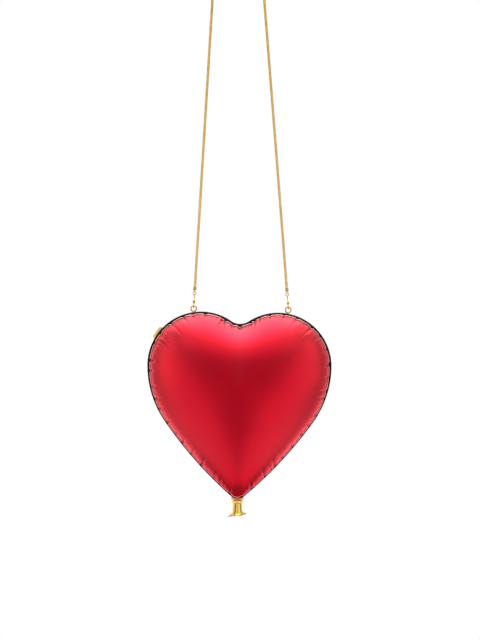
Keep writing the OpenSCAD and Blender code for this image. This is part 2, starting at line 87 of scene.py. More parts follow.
class Socket:
    """An output of a node, with arithmetic that adds Math nodes."""

    def __init__(self, graph: "Graph", out: bpy.types.NodeSocket) -> None:
        """Keeps the socket and the graph it belongs to."""
        self.graph = graph
        self.out = out

    def __add__(self, other: "Socket | float") -> "Socket":
        """This value plus another."""
        return self.graph.math("ADD", self, other)

    __radd__ = __add__

    def __sub__(self, other: "Socket | float") -> "Socket":
        """This value minus another."""
        return self.graph.math("SUBTRACT", self, other)

    def __rsub__(self, other: float) -> "Socket":
        """A number minus this value."""
        return self.graph.math("SUBTRACT", other, self)

    def __mul__(self, other: "Socket | float") -> "Socket":
        """This value times another."""
        return self.graph.math("MULTIPLY", self, other)

    __rmul__ = __mul__

    def smooth(self, low: float, high: float) -> "Socket":
        """A soft step.

        Args:
            low: The value at which the step starts from 0.
            high: The value at which it reaches 1.

        Returns:
            A value from 0 to 1.
        """
        node = self.graph.node("ShaderNodeMapRange", {"interpolation_type": "SMOOTHSTEP"},
                               {"Value": self, "From Min": low, "From Max": high})
        return self.graph.out(node)


class Graph:
    """Builds one node tree."""

    def __init__(self, tree: bpy.types.NodeTree) -> None:
        """Keeps the tree that the nodes go into."""
        self.tree = tree

    def node(self, kind: str, settings: dict | None = None,
             values: dict | None = None) -> bpy.types.Node:
        """Adds any node.

        Args:
            kind: Blender's type name of the node.
            settings: Attributes of the node, set before its sockets.
            values: Values or links of its sockets, by name, index or identifier.

        Returns:
            The new node.
        """
        node = self.tree.nodes.new(kind)
        for name, value in (settings or {}).items():
            setattr(node, name, value)
        for name, value in (values or {}).items():
            self.feed(self.find(node.inputs, name), value)
        return node

    @staticmethod
    def find(sockets: bpy.types.bpy_prop_collection, name: str | int) -> bpy.types.NodeSocket:
        """A socket by its index, identifier or name."""
        if isinstance(name, int):
            return sockets[name]
        for socket in sockets:
            if socket.identifier == name:
                return socket
        return sockets[name]

    def feed(self, socket: bpy.types.NodeSocket, value: object) -> None:
        """Links a socket to another, or sets its own value."""
        if isinstance(value, Socket):
            self.tree.links.new(value.out, socket)
        else:
            socket.default_value = value

    def out(self, node: bpy.types.Node, name: str | int = 0) -> Socket:
        """One output of a node."""
        return Socket(self, self.find(node.outputs, name))

    def math(self, operation: str, *values: Socket | float) -> Socket:
        """Adds a Math node.

        Args:
            operation: Blender's name of the operation.
            values: The node's inputs, in order.

        Returns:
            The node's output.
        """
        node = self.node("ShaderNodeMath", {"operation": operation}, dict(enumerate(values)))
        return self.out(node)

    def blend(self, low: object, high: object, factor: Socket | float) -> Socket:
        """Mixes two colours.

        Args:
            low: The colour where the factor is 0.
            high: The colour where it is 1.
            factor: The mix.

        Returns:
            The mixed colour.
        """
        node = self.node("ShaderNodeMix", {"data_type": "RGBA"},
                         {"Factor_Float": factor, "A_Color": low, "B_Color": high})
        return self.out(node, "Result_Color")


class Surface(Graph):
    """A material's node tree, with the inputs that patterns are made from."""

    def __init__(self, name: str) -> None:
        """Makes an empty material."""
        self.material = bpy.data.materials.new(name)
        self.material.use_nodes = True
        super().__init__(self.material.node_tree)
        self.tree.nodes.clear()
        self.place = self.out(self.node("ShaderNodeTexCoord"), "Object")

    def noise(self, scale: float, detail: float = 2.0, stretch: tuple = (1.0, 1.0, 1.0)) -> Socket:
        """Noise over the piece, from 0 to 1.

        Args:
            scale: Cells in a metre.
            detail: Octaves of the noise.
            stretch: How much finer the cells are along each axis.

        Returns:
            The noise value.
        """
        place = self.node("ShaderNodeMapping", None, {"Vector": self.place, "Scale": stretch})
        node = self.node("ShaderNodeTexNoise", None,
                         {"Vector": self.out(place), "Scale": scale, "Detail": detail})
        return self.out(node, "Fac")

    def attribute(self, name: str) -> Socket:
        """A float attribute of the mesh."""
        return self.out(self.node("ShaderNodeAttribute", {"attribute_name": name}), "Fac")

    def bump(self, height: Socket, distance: float, strength: float) -> Socket:
        """A normal that follows a height.

        Args:
            height: The height, from 0 to 1.
            distance: How high 1 stands, in metres.
            strength: Share of the bump that shows.

        Returns:
            The bumped normal.
        """
        node = self.node("ShaderNodeBump", None,
                         {"Height": height, "Distance": distance, "Strength": strength})
        return self.out(node)

    def finish(self, values: dict) -> bpy.types.Material:
        """Ends the tree in a Principled shader.

        Args:
            values: Values or links of the shader's sockets.

        Returns:
            The material.
        """
        shader = self.node("ShaderNodeBsdfPrincipled", None, values)
        self.node("ShaderNodeOutputMaterial", None, {"Surface": self.out(shader)})
        return self.material


# ---- finishes ----


@dataclass(frozen=True)
class FoilFinish:
    """Satin metallic foil under a thin clear coat, with a painted pale highlight where its two
    sheets are sealed and painted shade in its wrinkles.
    """

    name: str = "foil_red"
    deep: tuple = (0.53, 0.0016, 0.0150, 1.0)
    bright: tuple = (0.58, 0.0024, 0.0150, 1.0)
    # Colour of the painted highlight on the sealed band
    seal: tuple = (0.72, 0.24, 0.24, 1.0)
    # Colour of the painted shade in the wrinkles and the groove
    crease: tuple = (0.20, 0.001, 0.006, 1.0)
    roughness: float = 0.25
    coat_middle: float = 0.04
    coat_edge: float = 0.5
    coat_roughness: float = 0.38
    coat_ior: float = 1.6
    # Share of the clear coat taken off where shade is painted in the wrinkles
    coat_lost_in_creases: float = 0.85
    graze: tuple = (1.0, 0.55, 0.60, 1.0)
    seal_dullness: float = 0.4
    patches: float = 28.0
    grain: float = 900.0
    ripples: float = 140.0
    ripple_height: float = 0.2 * MM
    ripple_strength: float = 0.12

    def build(self) -> bpy.types.Material:
        """Makes the material."""
        s = Surface(self.name)
        tone = s.noise(self.patches, 3.0)
        grain = s.noise(self.grain, 2.0)
        seal, crease = s.attribute("seal"), s.attribute("crease")
        colour = s.blend(self.deep, self.bright, tone.smooth(0.3, 0.7))
        # Painted highlight: the sealed band is coloured pale pink, and below it is made less
        # metallic
        colour = s.blend(colour, self.seal, seal)
        # Painted shade: the wrinkles and the groove are coloured darker, and below they lose most
        # of their clear coat
        colour = s.blend(colour, self.crease, crease)
        rough = self.roughness - 0.03 + 0.05 * tone + 0.02 * grain
        coat = self.coat_middle + (self.coat_edge - self.coat_middle) * s.attribute("edge")
        coat = coat * (1.0 - self.coat_lost_in_creases * crease)
        return s.finish({
            "Base Color": colour, "Metallic": 1.0 - self.seal_dullness * seal,
            "Roughness": rough, "Specular Tint": self.graze, "Coat Weight": coat,
            "Coat Roughness": self.coat_roughness, "Coat IOR": self.coat_ior,
            "Normal": s.bump(s.noise(self.ripples, 3.0), self.ripple_height, self.ripple_strength),
        })


@dataclass(frozen=True)
class LacquerFinish:
    """Dark glossy lacquer on the metal rims, worn a little browner in random patches."""

    name: str = "rim_lacquer"
    dark: tuple = (0.034, 0.001, 0.003, 1.0)
    warm: tuple = (0.060, 0.006, 0.005, 1.0)

    def build(self) -> bpy.types.Material:
        """Makes the material."""
        s = Surface(self.name)
        patch = s.noise(120.0, 4.0)
        return s.finish({
            "Base Color": s.blend(self.dark, self.warm, patch.smooth(0.45, 0.8)),
            "Metallic": 1.0, "Roughness": 0.2 + 0.12 * patch,
            "Coat Weight": 0.12, "Coat Roughness": 0.1,
            "Normal": s.bump(s.noise(700.0, 2.0), 0.05 * MM, 0.15),
        })


@dataclass(frozen=True)
class MetalFinish:
    """Plated metal with faint polishing marks and a slightly uneven tone."""

    name: str
    base: tuple
    worn: tuple
    roughness: float
    marks: float = 0.08

    def build(self) -> bpy.types.Material:
        """Makes the material."""
        s = Surface(self.name)
        tone = s.noise(220.0, 3.0)
        lines = s.noise(2600.0, 2.0, (1.0, 1.0, 0.12))
        rough = self.roughness + self.marks * (lines - 0.5) + 0.06 * (tone - 0.5)
        return s.finish({
            "Base Color": s.blend(self.base, self.worn, tone.smooth(0.42, 0.78)),
            "Metallic": 1.0, "Roughness": rough,
            "Normal": s.bump(lines, 0.03 * MM, 0.2),
        })


@dataclass(frozen=True)
class ShadedGoldFinish:
    """Gold plate with painted shade: darker in its grooves and round the mouth."""

    name: str = "gold_plate_shaded"
    base: tuple = (0.84, 0.54, 0.15, 1.0)
    # Colour of the painted shade
    dark: tuple = (0.22, 0.12, 0.012, 1.0)

    def build(self) -> bpy.types.Material:
        """Makes the material."""
        s = Surface(self.name)
        tone = s.noise(260.0, 3.0)
        # The shade attribute mixes in the dark colour as painted shade
        return s.finish({
            "Base Color": s.blend(self.base, self.dark, s.attribute("shade")),
            "Metallic": 1.0, "Roughness": 0.24 + 0.1 * tone,
            "Normal": s.bump(s.noise(1800.0, 2.0), 0.03 * MM, 0.2),
        })


@dataclass(frozen=True)
class FabricFinish:
    """Fine ribbed lining satin glued over its board."""

    name: str = "lining_satin"
    dark: tuple = (0.070, 0.002, 0.006, 1.0)
    light: tuple = (0.210, 0.008, 0.020, 1.0)
    ribs: float = 1500.0

    def build(self) -> bpy.types.Material:
        """Makes the material."""
        s = Surface(self.name)
        wave = s.node("ShaderNodeTexWave", {"wave_type": "BANDS", "bands_direction": "DIAGONAL"},
                      {"Vector": s.place, "Scale": self.ribs / 6.3, "Distortion": 0.6,
                       "Detail": 1.0, "Detail Scale": 2.0})
        rib = s.out(wave, "Fac")
        cloud = s.noise(60.0, 3.0)
        return s.finish({
            "Base Color": s.blend(self.dark, self.light, 0.45 * rib + 0.55 * cloud),
            "Roughness": 0.62 - 0.15 * rib, "Sheen Weight": 0.2, "Sheen Roughness": 0.4,
            "Normal": s.bump(rib, 0.12 * MM, 0.5),
        })


@dataclass(frozen=True)
class FloorFinish:
    """Matt grey floor."""

    name: str = "studio_floor"
    tone: tuple = (0.20, 0.20, 0.20, 1.0)

    def build(self) -> bpy.types.Material:
        """Makes the material."""
        s = Surface(self.name)
        speck = s.noise(40.0, 2.0)
        return s.finish({"Base Color": self.tone, "Roughness": 0.7 + 0.1 * speck})


class Finishes:
    """Every material of the bag, made once."""

    def __init__(self) -> None:
        """Makes the materials."""
        self.foil = FoilFinish().build()
        self.rim = LacquerFinish().build()
        self.gold = MetalFinish(
            "gold_plate", (0.93, 0.61, 0.19, 1.0), (0.86, 0.52, 0.13, 1.0), 0.2).build()
        self.gold_dark = MetalFinish(
            "gold_plate_dark", (0.62, 0.37, 0.11, 1.0), (0.46, 0.26, 0.07, 1.0), 0.24).build()
        self.chain = MetalFinish(
            "chain_gold", (0.50, 0.31, 0.07, 1.0), (0.36, 0.21, 0.035, 1.0), 0.22).build()
        self.steel = MetalFinish(
            "steel", (0.58, 0.58, 0.60, 1.0), (0.42, 0.42, 0.45, 1.0), 0.26).build()
        self.gold_shaded = ShadedGoldFinish().build()
        self.lining = FabricFinish().build()
        self.thread = MetalFinish(
            "thread_gold", (0.60, 0.36, 0.12, 1.0), (0.44, 0.24, 0.06, 1.0), 0.5).build()
        self.floor = FloorFinish().build()


# ---- meshes ----


def skin(name: str, rings: np.ndarray, closed_rows: bool = False,
         poles: tuple | None = None) -> bpy.types.Mesh:
    """Joins rings of points into a closed skin whose faces point outwards.

    Args:
        name: Name of the mesh.
        rings: Points as rows of one ring each, in metres.
        closed_rows: Whether the last ring joins the first.
        poles: The two points that close the ends, where the rows don't join.

    Returns:
        The mesh, shaded smooth.
    """
    rows, around = rings.shape[:2]
    points = rings.reshape(-1, 3)
    if poles is not None:
        points = np.vstack([points, poles[0], poles[1]])
    spans = rows if closed_rows else rows - 1
    k, i = np.meshgrid(np.arange(spans), np.arange(around), indexing="ij")
    up, over = (k + 1) % rows, (i + 1) % around
    quads = np.stack([k * around + i, k * around + over, up * around + over, up * around + i], -1)
    faces = quads.reshape(-1, 4).tolist()
    if poles is not None:
        south, north, last = rows * around, rows * around + 1, (rows - 1) * around
        faces += [[(j + 1) % around, j, south] for j in range(around)]
        faces += [[last + j, last + (j + 1) % around, north] for j in range(around)]
    corners = [points[[f[n] for f in faces]] for n in range(3)]
    volume = np.einsum("ij,ij->", corners[0], np.cross(corners[1], corners[2]))
    quad_rows = [f for f in faces if len(f) == 4]
    extra = points[[f[3] for f in quad_rows]]
    volume += np.einsum("ij,ij->", points[[f[0] for f in quad_rows]],
                        np.cross(points[[f[2] for f in quad_rows]], extra))
    if volume < 0:
        faces = [f[::-1] for f in faces]
    mesh = bpy.data.meshes.new(name)
    mesh.from_pydata(points.tolist(), [], faces)
    mesh.shade_smooth()
    mesh.update()
    return mesh


def circle(radius: float, z: float, angles: np.ndarray, y: float = 0.0) -> np.ndarray:
    """Points round a level circle whose middle is at x = 0."""
    return np.stack([radius * np.cos(angles), y + radius * np.sin(angles),
                     np.full_like(angles, z)], -1)


def height_point(z: float) -> np.ndarray:
    """The point at a height on the z axis."""
    return np.array([0, 0, z])


def paint(mesh: bpy.types.Mesh, name: str, values: np.ndarray, poles: tuple = (0.0, 0.0)) -> None:
    """Gives a skin a float attribute.

    Args:
        mesh: The skin.
        name: Name of the attribute.
        values: A value for each point of its rings.
        poles: The values at its two poles.
    """
    layer = mesh.attributes.new(name, "FLOAT", "POINT")
    layer.data.foreach_set("value", np.append(values, poles).astype(np.float32))


def piece(name: str, mesh: bpy.types.Mesh, finish: bpy.types.Material, body: str, slot: str,
          stands_for: tuple = (), sharp_deg: float | None = None) -> bpy.types.Object:
    """Puts a finished mesh on its body.

    Args:
        name: Name of the piece.
        mesh: Its mesh, in the frame's own place.
        finish: Its material.
        body: The body that it rides on.
        slot: The record's material slot; not used.
        stands_for: The frame's nodes that it replaces.
        sharp_deg: Angle past which an edge stays sharp, or None for a smooth skin.

    Returns:
        The new object.
    """
    mesh.materials.clear()
    mesh.materials.append(finish)
    if sharp_deg is not None:
        mesh.shade_smooth()
        mesh.set_sharp_from_angle(angle=math.radians(sharp_deg))
    obj = bpy.data.objects.new(name, mesh)
    bpy.context.scene.collection.objects.link(obj)
    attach(obj, body)
    if stands_for:
        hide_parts(*stands_for)
    LOG.info("%s: %d faces on %s", name, len(mesh.polygons), body)
    return obj


def softened(node: str, edge: float, segments: int = 2, from_deg: float = 32.0) -> bpy.types.Mesh:
    """A copy of a machined node with its sharp edges broken.

    Args:
        node: The frame's node.
        edge: Width of the broken edges, in metres.
        segments: Faces across each edge.
        from_deg: Angle from which an edge counts as sharp.

    Returns:
        The mesh.
    """
    bm = bmesh.new()
    bm.from_mesh(frame["nodes"][node].data)
    bmesh.ops.remove_doubles(bm, verts=bm.verts, dist=MERGE)
    bmesh.ops.dissolve_degenerate(bm, dist=MERGE, edges=bm.edges)
    bmesh.ops.dissolve_limit(bm, angle_limit=FLAT_ANGLE, verts=bm.verts, edges=bm.edges)
    limit = math.radians(from_deg)
    sharp = [e for e in bm.edges if e.is_manifold and e.calc_face_angle(0.0) > limit]
    if edge > 0 and sharp:
        bmesh.ops.bevel(bm, geom=sharp, offset=edge, segments=segments, profile=0.5,
                        affect="EDGES", clamp_overlap=True)
    mesh = bpy.data.meshes.new(node + "_softened")
    bm.to_mesh(mesh)
    bm.free()
    return mesh


# ---- outline ----


@dataclass(frozen=True)
class Arc:
    """One arc of the outline, run anticlockwise round the heart."""

    centre: np.ndarray
    radius: float
    start: float
    end: float
    hollow: bool = False

    @property
    def length(self) -> float:
        """Length of the arc."""
        return abs(self.end - self.start) * self.radius

    def at(self, share: np.ndarray) -> tuple[np.ndarray, np.ndarray]:
        """Points and outward directions at shares of the arc."""
        a = self.start + (self.end - self.start) * share
        ray = np.stack([np.cos(a), np.sin(a)], -1)
        return self.centre + self.radius * ray, -ray if self.hollow else ray


@dataclass
class HeartOutline:
    """The case's outline: tangent arcs, the same on both sides, in x and height."""

    lobe_up: float = 31 * MM
    lobe_r: float = 48 * MM
    side_r: float = 87 * MM
    flank_r: float = 360 * MM
    tip_r: float = 8.8 * MM
    cleft_r: float = 14 * MM
    side_dir: float = math.radians(-35)
    level: float = field(init=False)
    lobe: np.ndarray = field(init=False)
    tip_up: float = field(init=False)
    arcs: list = field(init=False)
    half_length: float = field(init=False)

    def __post_init__(self) -> None:
        """Works out the arcs from the radii and the rim's own box."""
        low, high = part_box("front_rim")
        width = high.x - low.x
        self.level = high.z - self.lobe_up - self.lobe_r
        lobe = np.array([width / 2 - self.lobe_r, self.lobe_up])
        side = lobe - [self.side_r - self.lobe_r, 0]
        turn = np.array([math.cos(self.side_dir), math.sin(self.side_dir)])
        flank = side - (self.flank_r - self.side_r) * turn
        tip_a = -math.acos(-flank[0] / (self.flank_r - self.tip_r))
        tip = flank + (self.flank_r - self.tip_r) * np.array([math.cos(tip_a), math.sin(tip_a)])
        reach = self.lobe_r + self.cleft_r
        cleft = np.array([0, self.lobe_up + math.sqrt(reach ** 2 - lobe[0] ** 2)])
        to_cleft = math.atan2(cleft[1] - lobe[1], cleft[0] - lobe[0])
        self.lobe = lobe
        self.tip_up = tip[1] - self.tip_r
        self.arcs = [
            Arc(tip, self.tip_r, -math.pi / 2, tip_a),
            Arc(flank, self.flank_r, tip_a, self.side_dir),
            Arc(side, self.side_r, self.side_dir, 0),
            Arc(lobe, self.lobe_r, 0, to_cleft),
            Arc(cleft, self.cleft_r, to_cleft - math.pi, -math.pi / 2, True),
        ]
        self.half_length = sum(arc.length for arc in self.arcs)

    @property
    def length(self) -> float:
        """Length of the whole outline."""
        return 2 * self.half_length

    def at(self, s: np.ndarray) -> tuple[np.ndarray, np.ndarray]:
        """Points on the outline.

        Args:
            s: Distances from the tip, anticlockwise.

        Returns:
            The points and the outward directions there.
        """
        s = np.mod(s, self.length)
        mirrored = s > self.half_length
        left = np.where(mirrored, self.length - s, s)
        points, normals = np.zeros((len(s), 2)), np.zeros((len(s), 2))
        done = 0.0
        for arc in self.arcs:
            here = (left >= done - 1e-12) & (left <= done + arc.length + 1e-12)
            p, n = arc.at(np.clip((left[here] - done) / arc.length, 0, 1))
            points[here], normals[here] = p, n
            done += arc.length
        flip = np.where(mirrored, -1.0, 1.0)
        points[:, 0] *= flip
        normals[:, 0] *= flip
        return points, normals

    def gap(self, s: np.ndarray, at: float) -> np.ndarray:
        """Distances along the outline from a place on it, the short way round."""
        return np.mod(s - at + self.length / 2, self.length) - self.length / 2

    def inset(self, s: np.ndarray, by: np.ndarray | float) -> np.ndarray:
        """Points at a distance inside the outline."""
        points, normals = self.at(s)
        return points - normals * np.broadcast_to(by, s.shape)[:, None]

    def place(self, flat: np.ndarray, v: np.ndarray, half: Half) -> np.ndarray:
        """Points of the outline's plane, lifted off the seam.

        Args:
            flat: Points in x and height above the heart's level.
            v: Distance from the seam.
            half: The half they are on.

        Returns:
            The points in the frame.
        """
        v = np.broadcast_to(v, flat.shape[:-1])
        return np.stack([flat[..., 0], half.value * v, flat[..., 1] + self.level], -1)


# ---- foil ----


@dataclass(frozen=True)
class Crease:
    """A wrinkle that runs in from the seam, where the foil is pulled back."""

    at: float
    length: float
    depth: float
    width: float
    slant: float
    pull: float


@dataclass(frozen=True)
class WrinkleKind:
    """Wrinkles that are spread evenly round the seam, with the ranges they are drawn from."""

    spacing: float
    place: tuple
    length: tuple
    depth: tuple
    width: tuple
    slant: tuple
    pull: tuple | None = None

    def draw(self, rng: np.random.Generator, total: float) -> list[Crease]:
        """Draws the wrinkles.

        Args:
            rng: The source of random numbers.
            total: Length of the outline.

        Returns:
            The wrinkles, in order round the seam.
        """
        drawn = []
        count = round(total / self.spacing)
        for i in range(count):
            at = (i + rng.uniform(*self.place)) / count * total
            drawn.append(Crease(
                at, rng.uniform(*self.length) * MM, rng.uniform(*self.depth) * MM,
                rng.uniform(*self.width) * MM, rng.uniform(*self.slant),
                rng.uniform(*self.pull) * MM if self.pull else 0.0))
        return drawn


NOTCHES = WrinkleKind(12.5 * MM, (0.25, 0.75), (4.0, 8.0), (0.12, 0.3), (0.8, 1.3),
                      (-0.3, 0.3), (0.5, 1.3))
SHORT_ONES = WrinkleKind(4.6 * MM, (0.15, 0.85), (2.5, 7.0), (0.04, 0.14), (0.5, 0.9), (-0.4, 0.4))


@dataclass
class Puckers:
    """The wrinkles round one half: notches at the sealed edge, short ones between and a few long
    ones.
    """

    outline: HeartOutline
    seed: int
    notch_half: float = 2.3 * MM
    notch_power: float = 1.4
    reach_along: float = 12 * MM
    widening: float = 0.07
    full_depth: float = 0.3 * MM
    least_gap: float = 1.6 * MM
    full_lump: float = 6 * MM
    long_ones: tuple = ()
    deep_notches: tuple = ((0.525, 1.9), (0.5, 1.5), (0.475, 1.7), (0.706, 1.5), (0.29, 1.5))
    bulge: float = 0.3 * MM
    bulge_reach: float = 4.0 * MM
    creases: list = field(init=False)

    def __post_init__(self) -> None:
        """Draws the notches and the short wrinkles and adds the long ones."""
        rng = np.random.default_rng(self.seed)
        total = self.outline.length
        self.creases = NOTCHES.draw(rng, total) + SHORT_ONES.draw(rng, total)
        self.creases += [Crease(share * total, length * MM, depth * MM, 0.8 * MM, slant, 0.0)
                         for share, length, depth, slant in self.long_ones]
        self.creases += [Crease(share * total, 6 * MM, 0.3 * MM, 1.1 * MM, 0.0, pull * MM)
                         for share, pull in self.deep_notches]

    def pull(self, s: np.ndarray) -> np.ndarray:
        """How far the foil's edge is pulled back, in rounded notches."""
        back = np.zeros_like(s)
        for c in self.creases:
            share = np.clip(1 - np.abs(self.outline.gap(s, c.at)) / self.notch_half, 0, 1)
            back = np.maximum(back, c.pull * share ** self.notch_power)
        return back

    def relief(self, s: np.ndarray, reach: np.ndarray) -> tuple[np.ndarray, np.ndarray]:
        """The wrinkles' height over the smooth foil.

        Args:
            s: Distances along the outline, one for each column.
            reach: Distances in from the seam, as rows and columns.

        Returns:
            The height, and how deep in a wrinkle each point is, from 0 to 1.
        """
        height, inside = np.zeros_like(reach), np.zeros_like(reach)
        for c in self.creases:
            near = np.abs(self.outline.gap(s, c.at)) < self.reach_along
            r = reach[:, near]
            off = self.outline.gap(s, c.at)[near][None, :] + c.slant * r
            wide = c.width * (1 + self.widening * r / MM)
            line = np.exp(-((off / wide) ** 2))
            fall = np.clip(1 - r / c.length, 0, 1) ** 1.2
            height[:, near] -= c.depth * line * fall
            ridge = np.exp(-(((np.abs(off) - 2.2 * wide) / (1.1 * wide)) ** 2))
            height[:, near] += 0.4 * c.depth * ridge * fall
            shown = line * fall * min(1.0, c.depth / self.full_depth)
            inside[:, near] = np.maximum(inside[:, near], shown)
        marks = np.sort([c.at for c in self.creases])
        marks = marks[np.insert(np.diff(marks) > self.least_gap, 0, True)]
        total = self.outline.length
        marks = np.concatenate([marks[-1:] - total, marks, marks[:1] + total])
        k = np.clip(np.searchsorted(marks, s) - 1, 0, len(marks) - 2)
        wide = marks[k + 1] - marks[k]
        lump = np.sin(np.pi * np.clip((s - marks[k]) / wide, 0, 1)).clip(0) ** 0.8
        lump = lump * np.clip(wide / self.full_lump, 0.3, 1.2)
        height += self.bulge * lump[None, :] * np.exp(-reach / self.bulge_reach)
        return height, inside


class Membrane:
    """Height of a sheet blown up over the outline, from 0 at its edge to 1 at its crown."""

    def __init__(self, outline: HeartOutline, inset: float, terms: int = 24) -> None:
        """Fits harmonic terms so that the sheet meets its edge all round.

        Args:
            outline: The heart.
            inset: Distance of the sheet's edge inside the outline.
            terms: Number of harmonic terms.
        """
        self.unit = outline.lobe[0] + outline.lobe_r
        self.terms = terms
        s = np.linspace(0, outline.length, 900, endpoint=False)
        edge = outline.inset(s, inset) / self.unit
        self.weights = np.linalg.lstsq(self.waves(edge), (edge ** 2).sum(-1) / 4, rcond=None)[0]
        axis = np.stack([np.zeros(200), np.linspace(-0.5, 0.6, 200)], -1) * self.unit
        self.top = max(self.raw(axis).max(), self.raw(axis + [0.25 * self.unit, 0]).max())

    def waves(self, p: np.ndarray) -> np.ndarray:
        """The harmonic terms at points in units of the half width."""
        w = p[:, 1] + 1j * p[:, 0]
        return np.stack([(w ** k).real for k in range(self.terms)], -1)

    def raw(self, points: np.ndarray) -> np.ndarray:
        """The sheet's stress function at points in metres."""
        p = points.reshape(-1, 2) / self.unit
        return (self.waves(p) @ self.weights - (p ** 2).sum(-1) / 4).reshape(points.shape[:-1])

    def height(self, points: np.ndarray, edge: np.ndarray | float = 0.0) -> np.ndarray:
        """The sheet's height.

        Args:
            points: Points in metres.
            edge: What the fit leaves at the edge, already faded towards the crown.

        Returns:
            Heights from 0 to 1.
        """
        return np.sqrt(np.clip((self.raw(points) - edge) / self.top, 0, 1))


SEEDS = {Half.FRONT: 11, Half.BACK: 29}


@dataclass
class FoilHalf:
    """One moulded, foil-covered half of the case, and the lining board inside it."""

    outline: HeartOutline
    half: Half
    body: str
    columns: int = 1000
    rows: int = 46
    crown_up: float = 10 * MM
    depth: float = 31 * MM
    wall: float = 2 * MM
    rim_line: float = 1.8 * MM
    rim_w: float = 6.5 * MM
    rim_t: float = 3 * MM
    flange_w: float = 1.1 * MM
    flank_line: float = 1.0 * MM
    flange_t: float = 1 * MM
    lining_t: float = 0.8 * MM
    edge_reach: float = 24 * MM
    tip_reach: float = 40 * MM
    tuck: float = 0.3 * MM
    glue: float = 0.05 * MM
    long_ones: tuple = ()

    def __post_init__(self) -> None:
        """Prepares the membrane and the stations round the outline."""
        self.flange_in = self.rim_line + self.flange_w + 0.6 * MM
        self.base = self.rim_t + self.flange_t
        self.rise = self.depth - self.base
        self.membrane = Membrane(self.outline, self.flange_in)
        self.s = np.arange(self.columns) * self.outline.length / self.columns
        self.crown = np.array([0.0, self.crown_up])
        self.puckers = Puckers(self.outline, SEEDS[self.half], long_ones=self.long_ones)
        height = self.outline.at(self.s)[0][:, 1]
        low = 1 - np.clip((height + 20 * MM) / (50 * MM), 0, 1)
        self.line = self.rim_line + (self.flank_line - self.rim_line) * low
        self.pull = self.puckers.pull(self.s)
        self.start = self.line + self.flange_w + 0.75 * self.pull

    def sweep(self, inset: np.ndarray | float, turn: np.ndarray) -> np.ndarray:
        """Points that close from an inset of the outline towards the crown.

        Args:
            inset: Distance inside the outline.
            turn: Angles, from 0 at the edge to a quarter turn at the crown.

        Returns:
            The points, one row for each angle.
        """
        edge = self.outline.inset(self.s, inset)
        return self.crown + (edge - self.crown)[None] * np.cos(turn)[:, None, None]

    def pillow(self) -> tuple[np.ndarray, np.ndarray, np.ndarray]:
        """The wrinkled outer skin, in rows from the edge to the crown.

        Returns:
            Flat points, heights above the seam and how deep in a wrinkle each point is, which sets
            the painted shade.
        """
        turn = np.linspace(0, np.pi / 2, self.rows + 1)[1:-1]
        flat = self.sweep(self.start, turn)
        leftover = self.membrane.raw(self.outline.inset(self.s, self.start))
        edge = leftover[None] * np.cos(turn)[:, None] ** 16
        v = self.base - self.tuck + (self.rise + self.tuck) * self.membrane.height(flat, edge)
        skin_points = np.concatenate([flat, v[..., None]], -1)
        along = np.roll(skin_points, -1, 1) - np.roll(skin_points, 1, 1)
        inward = np.gradient(skin_points, axis=0)
        normal = np.cross(inward, along)
        normal /= np.linalg.norm(normal, axis=-1, keepdims=True)
        normal *= np.sign(normal[..., 2:])
        start = self.outline.inset(self.s, self.start)
        reach = np.linalg.norm(flat - start[None], axis=-1) + 0.18 * (v - self.base).clip(0)
        height, inside = self.puckers.relief(self.s, reach)
        settle = np.clip(reach / (0.5 * MM), 0.25, 1)
        moved = skin_points + normal * (height * settle)[..., None]
        return moved[..., :2], moved[..., 2], inside

    def flange(self) -> tuple[list, list]:
        """The sealed edge, as insets and heights from the rim's face to the groove."""
        start, top = self.line + self.pull, self.base
        groove = self.start
        lift = 0.1 * MM * np.sin(self.s / (3.1 * MM))
        section = [
            (start, self.rim_t),
            (start, top - 0.4 * MM),
            (start + 0.15 * MM, top - 0.12 * MM + lift),
            (start + 0.4 * MM, top + lift),
            (0.35 * start + 0.65 * groove, top - 0.02 * MM + lift),
            (groove - 0.2 * MM, top - 0.18 * MM),
            (groove, top - 0.34 * MM),
        ]
        return [i for i, _ in section], [np.broadcast_to(h, start.shape) for _, h in section]

    def inner(self, gap: float, inset: float, count: int) -> tuple[np.ndarray, np.ndarray]:
        """A smooth surface at a distance inside the foil.

        Args:
            gap: Distance below the foil.
            inset: Distance of its edge inside the outline.
            count: Number of rows.

        Returns:
            Flat points and heights, in rows from the edge to the crown.
        """
        turn = np.linspace(0, np.pi / 2, count + 1)[:-1]
        flat = self.sweep(inset, turn)
        v = self.base + self.rise * self.membrane.height(flat) - gap
        rise = np.clip((v - self.rim_t), 0, None)
        ease = np.sin(turn)[:, None] ** 0.5
        return flat, self.rim_t + rise * np.minimum(1, ease + 0.02)

    def crown_at(self, gap: float) -> np.ndarray:
        """The point at the crown, at a distance below the foil."""
        v = self.base + self.rise * self.membrane.height(self.crown[None])[0] - gap
        return self.outline.place(self.crown, np.array(v), self.half)

    def build_skin(self, finish: bpy.types.Material) -> None:
        """Makes the foil and dresses it."""
        flat, v, inside = self.pillow()
        insets, heights = self.flange()
        flange = np.stack([self.outline.inset(self.s, i) for i in insets])
        in_flat, in_v = self.inner(self.wall, self.rim_w, 16)
        place = self.outline.place
        rings = np.concatenate([place(in_flat[::-1], in_v[::-1], self.half),
                                place(flange, np.stack(heights), self.half),
                                place(flat, v, self.half)])
        name = self.half.name.lower()
        mesh = skin(f"{name}_foil", rings, poles=(self.crown_at(self.wall), self.crown_at(0.0)))
        seal, crease, edge = (np.zeros(rings.shape[:2]) for _ in range(3))
        first, groove = len(in_flat), len(in_flat) + len(flange) - 1
        # Painted highlight over the sealed band, weaker on its row next to the groove
        seal[first + 1:groove - 1] = 1.0
        seal[groove - 1] = 0.4
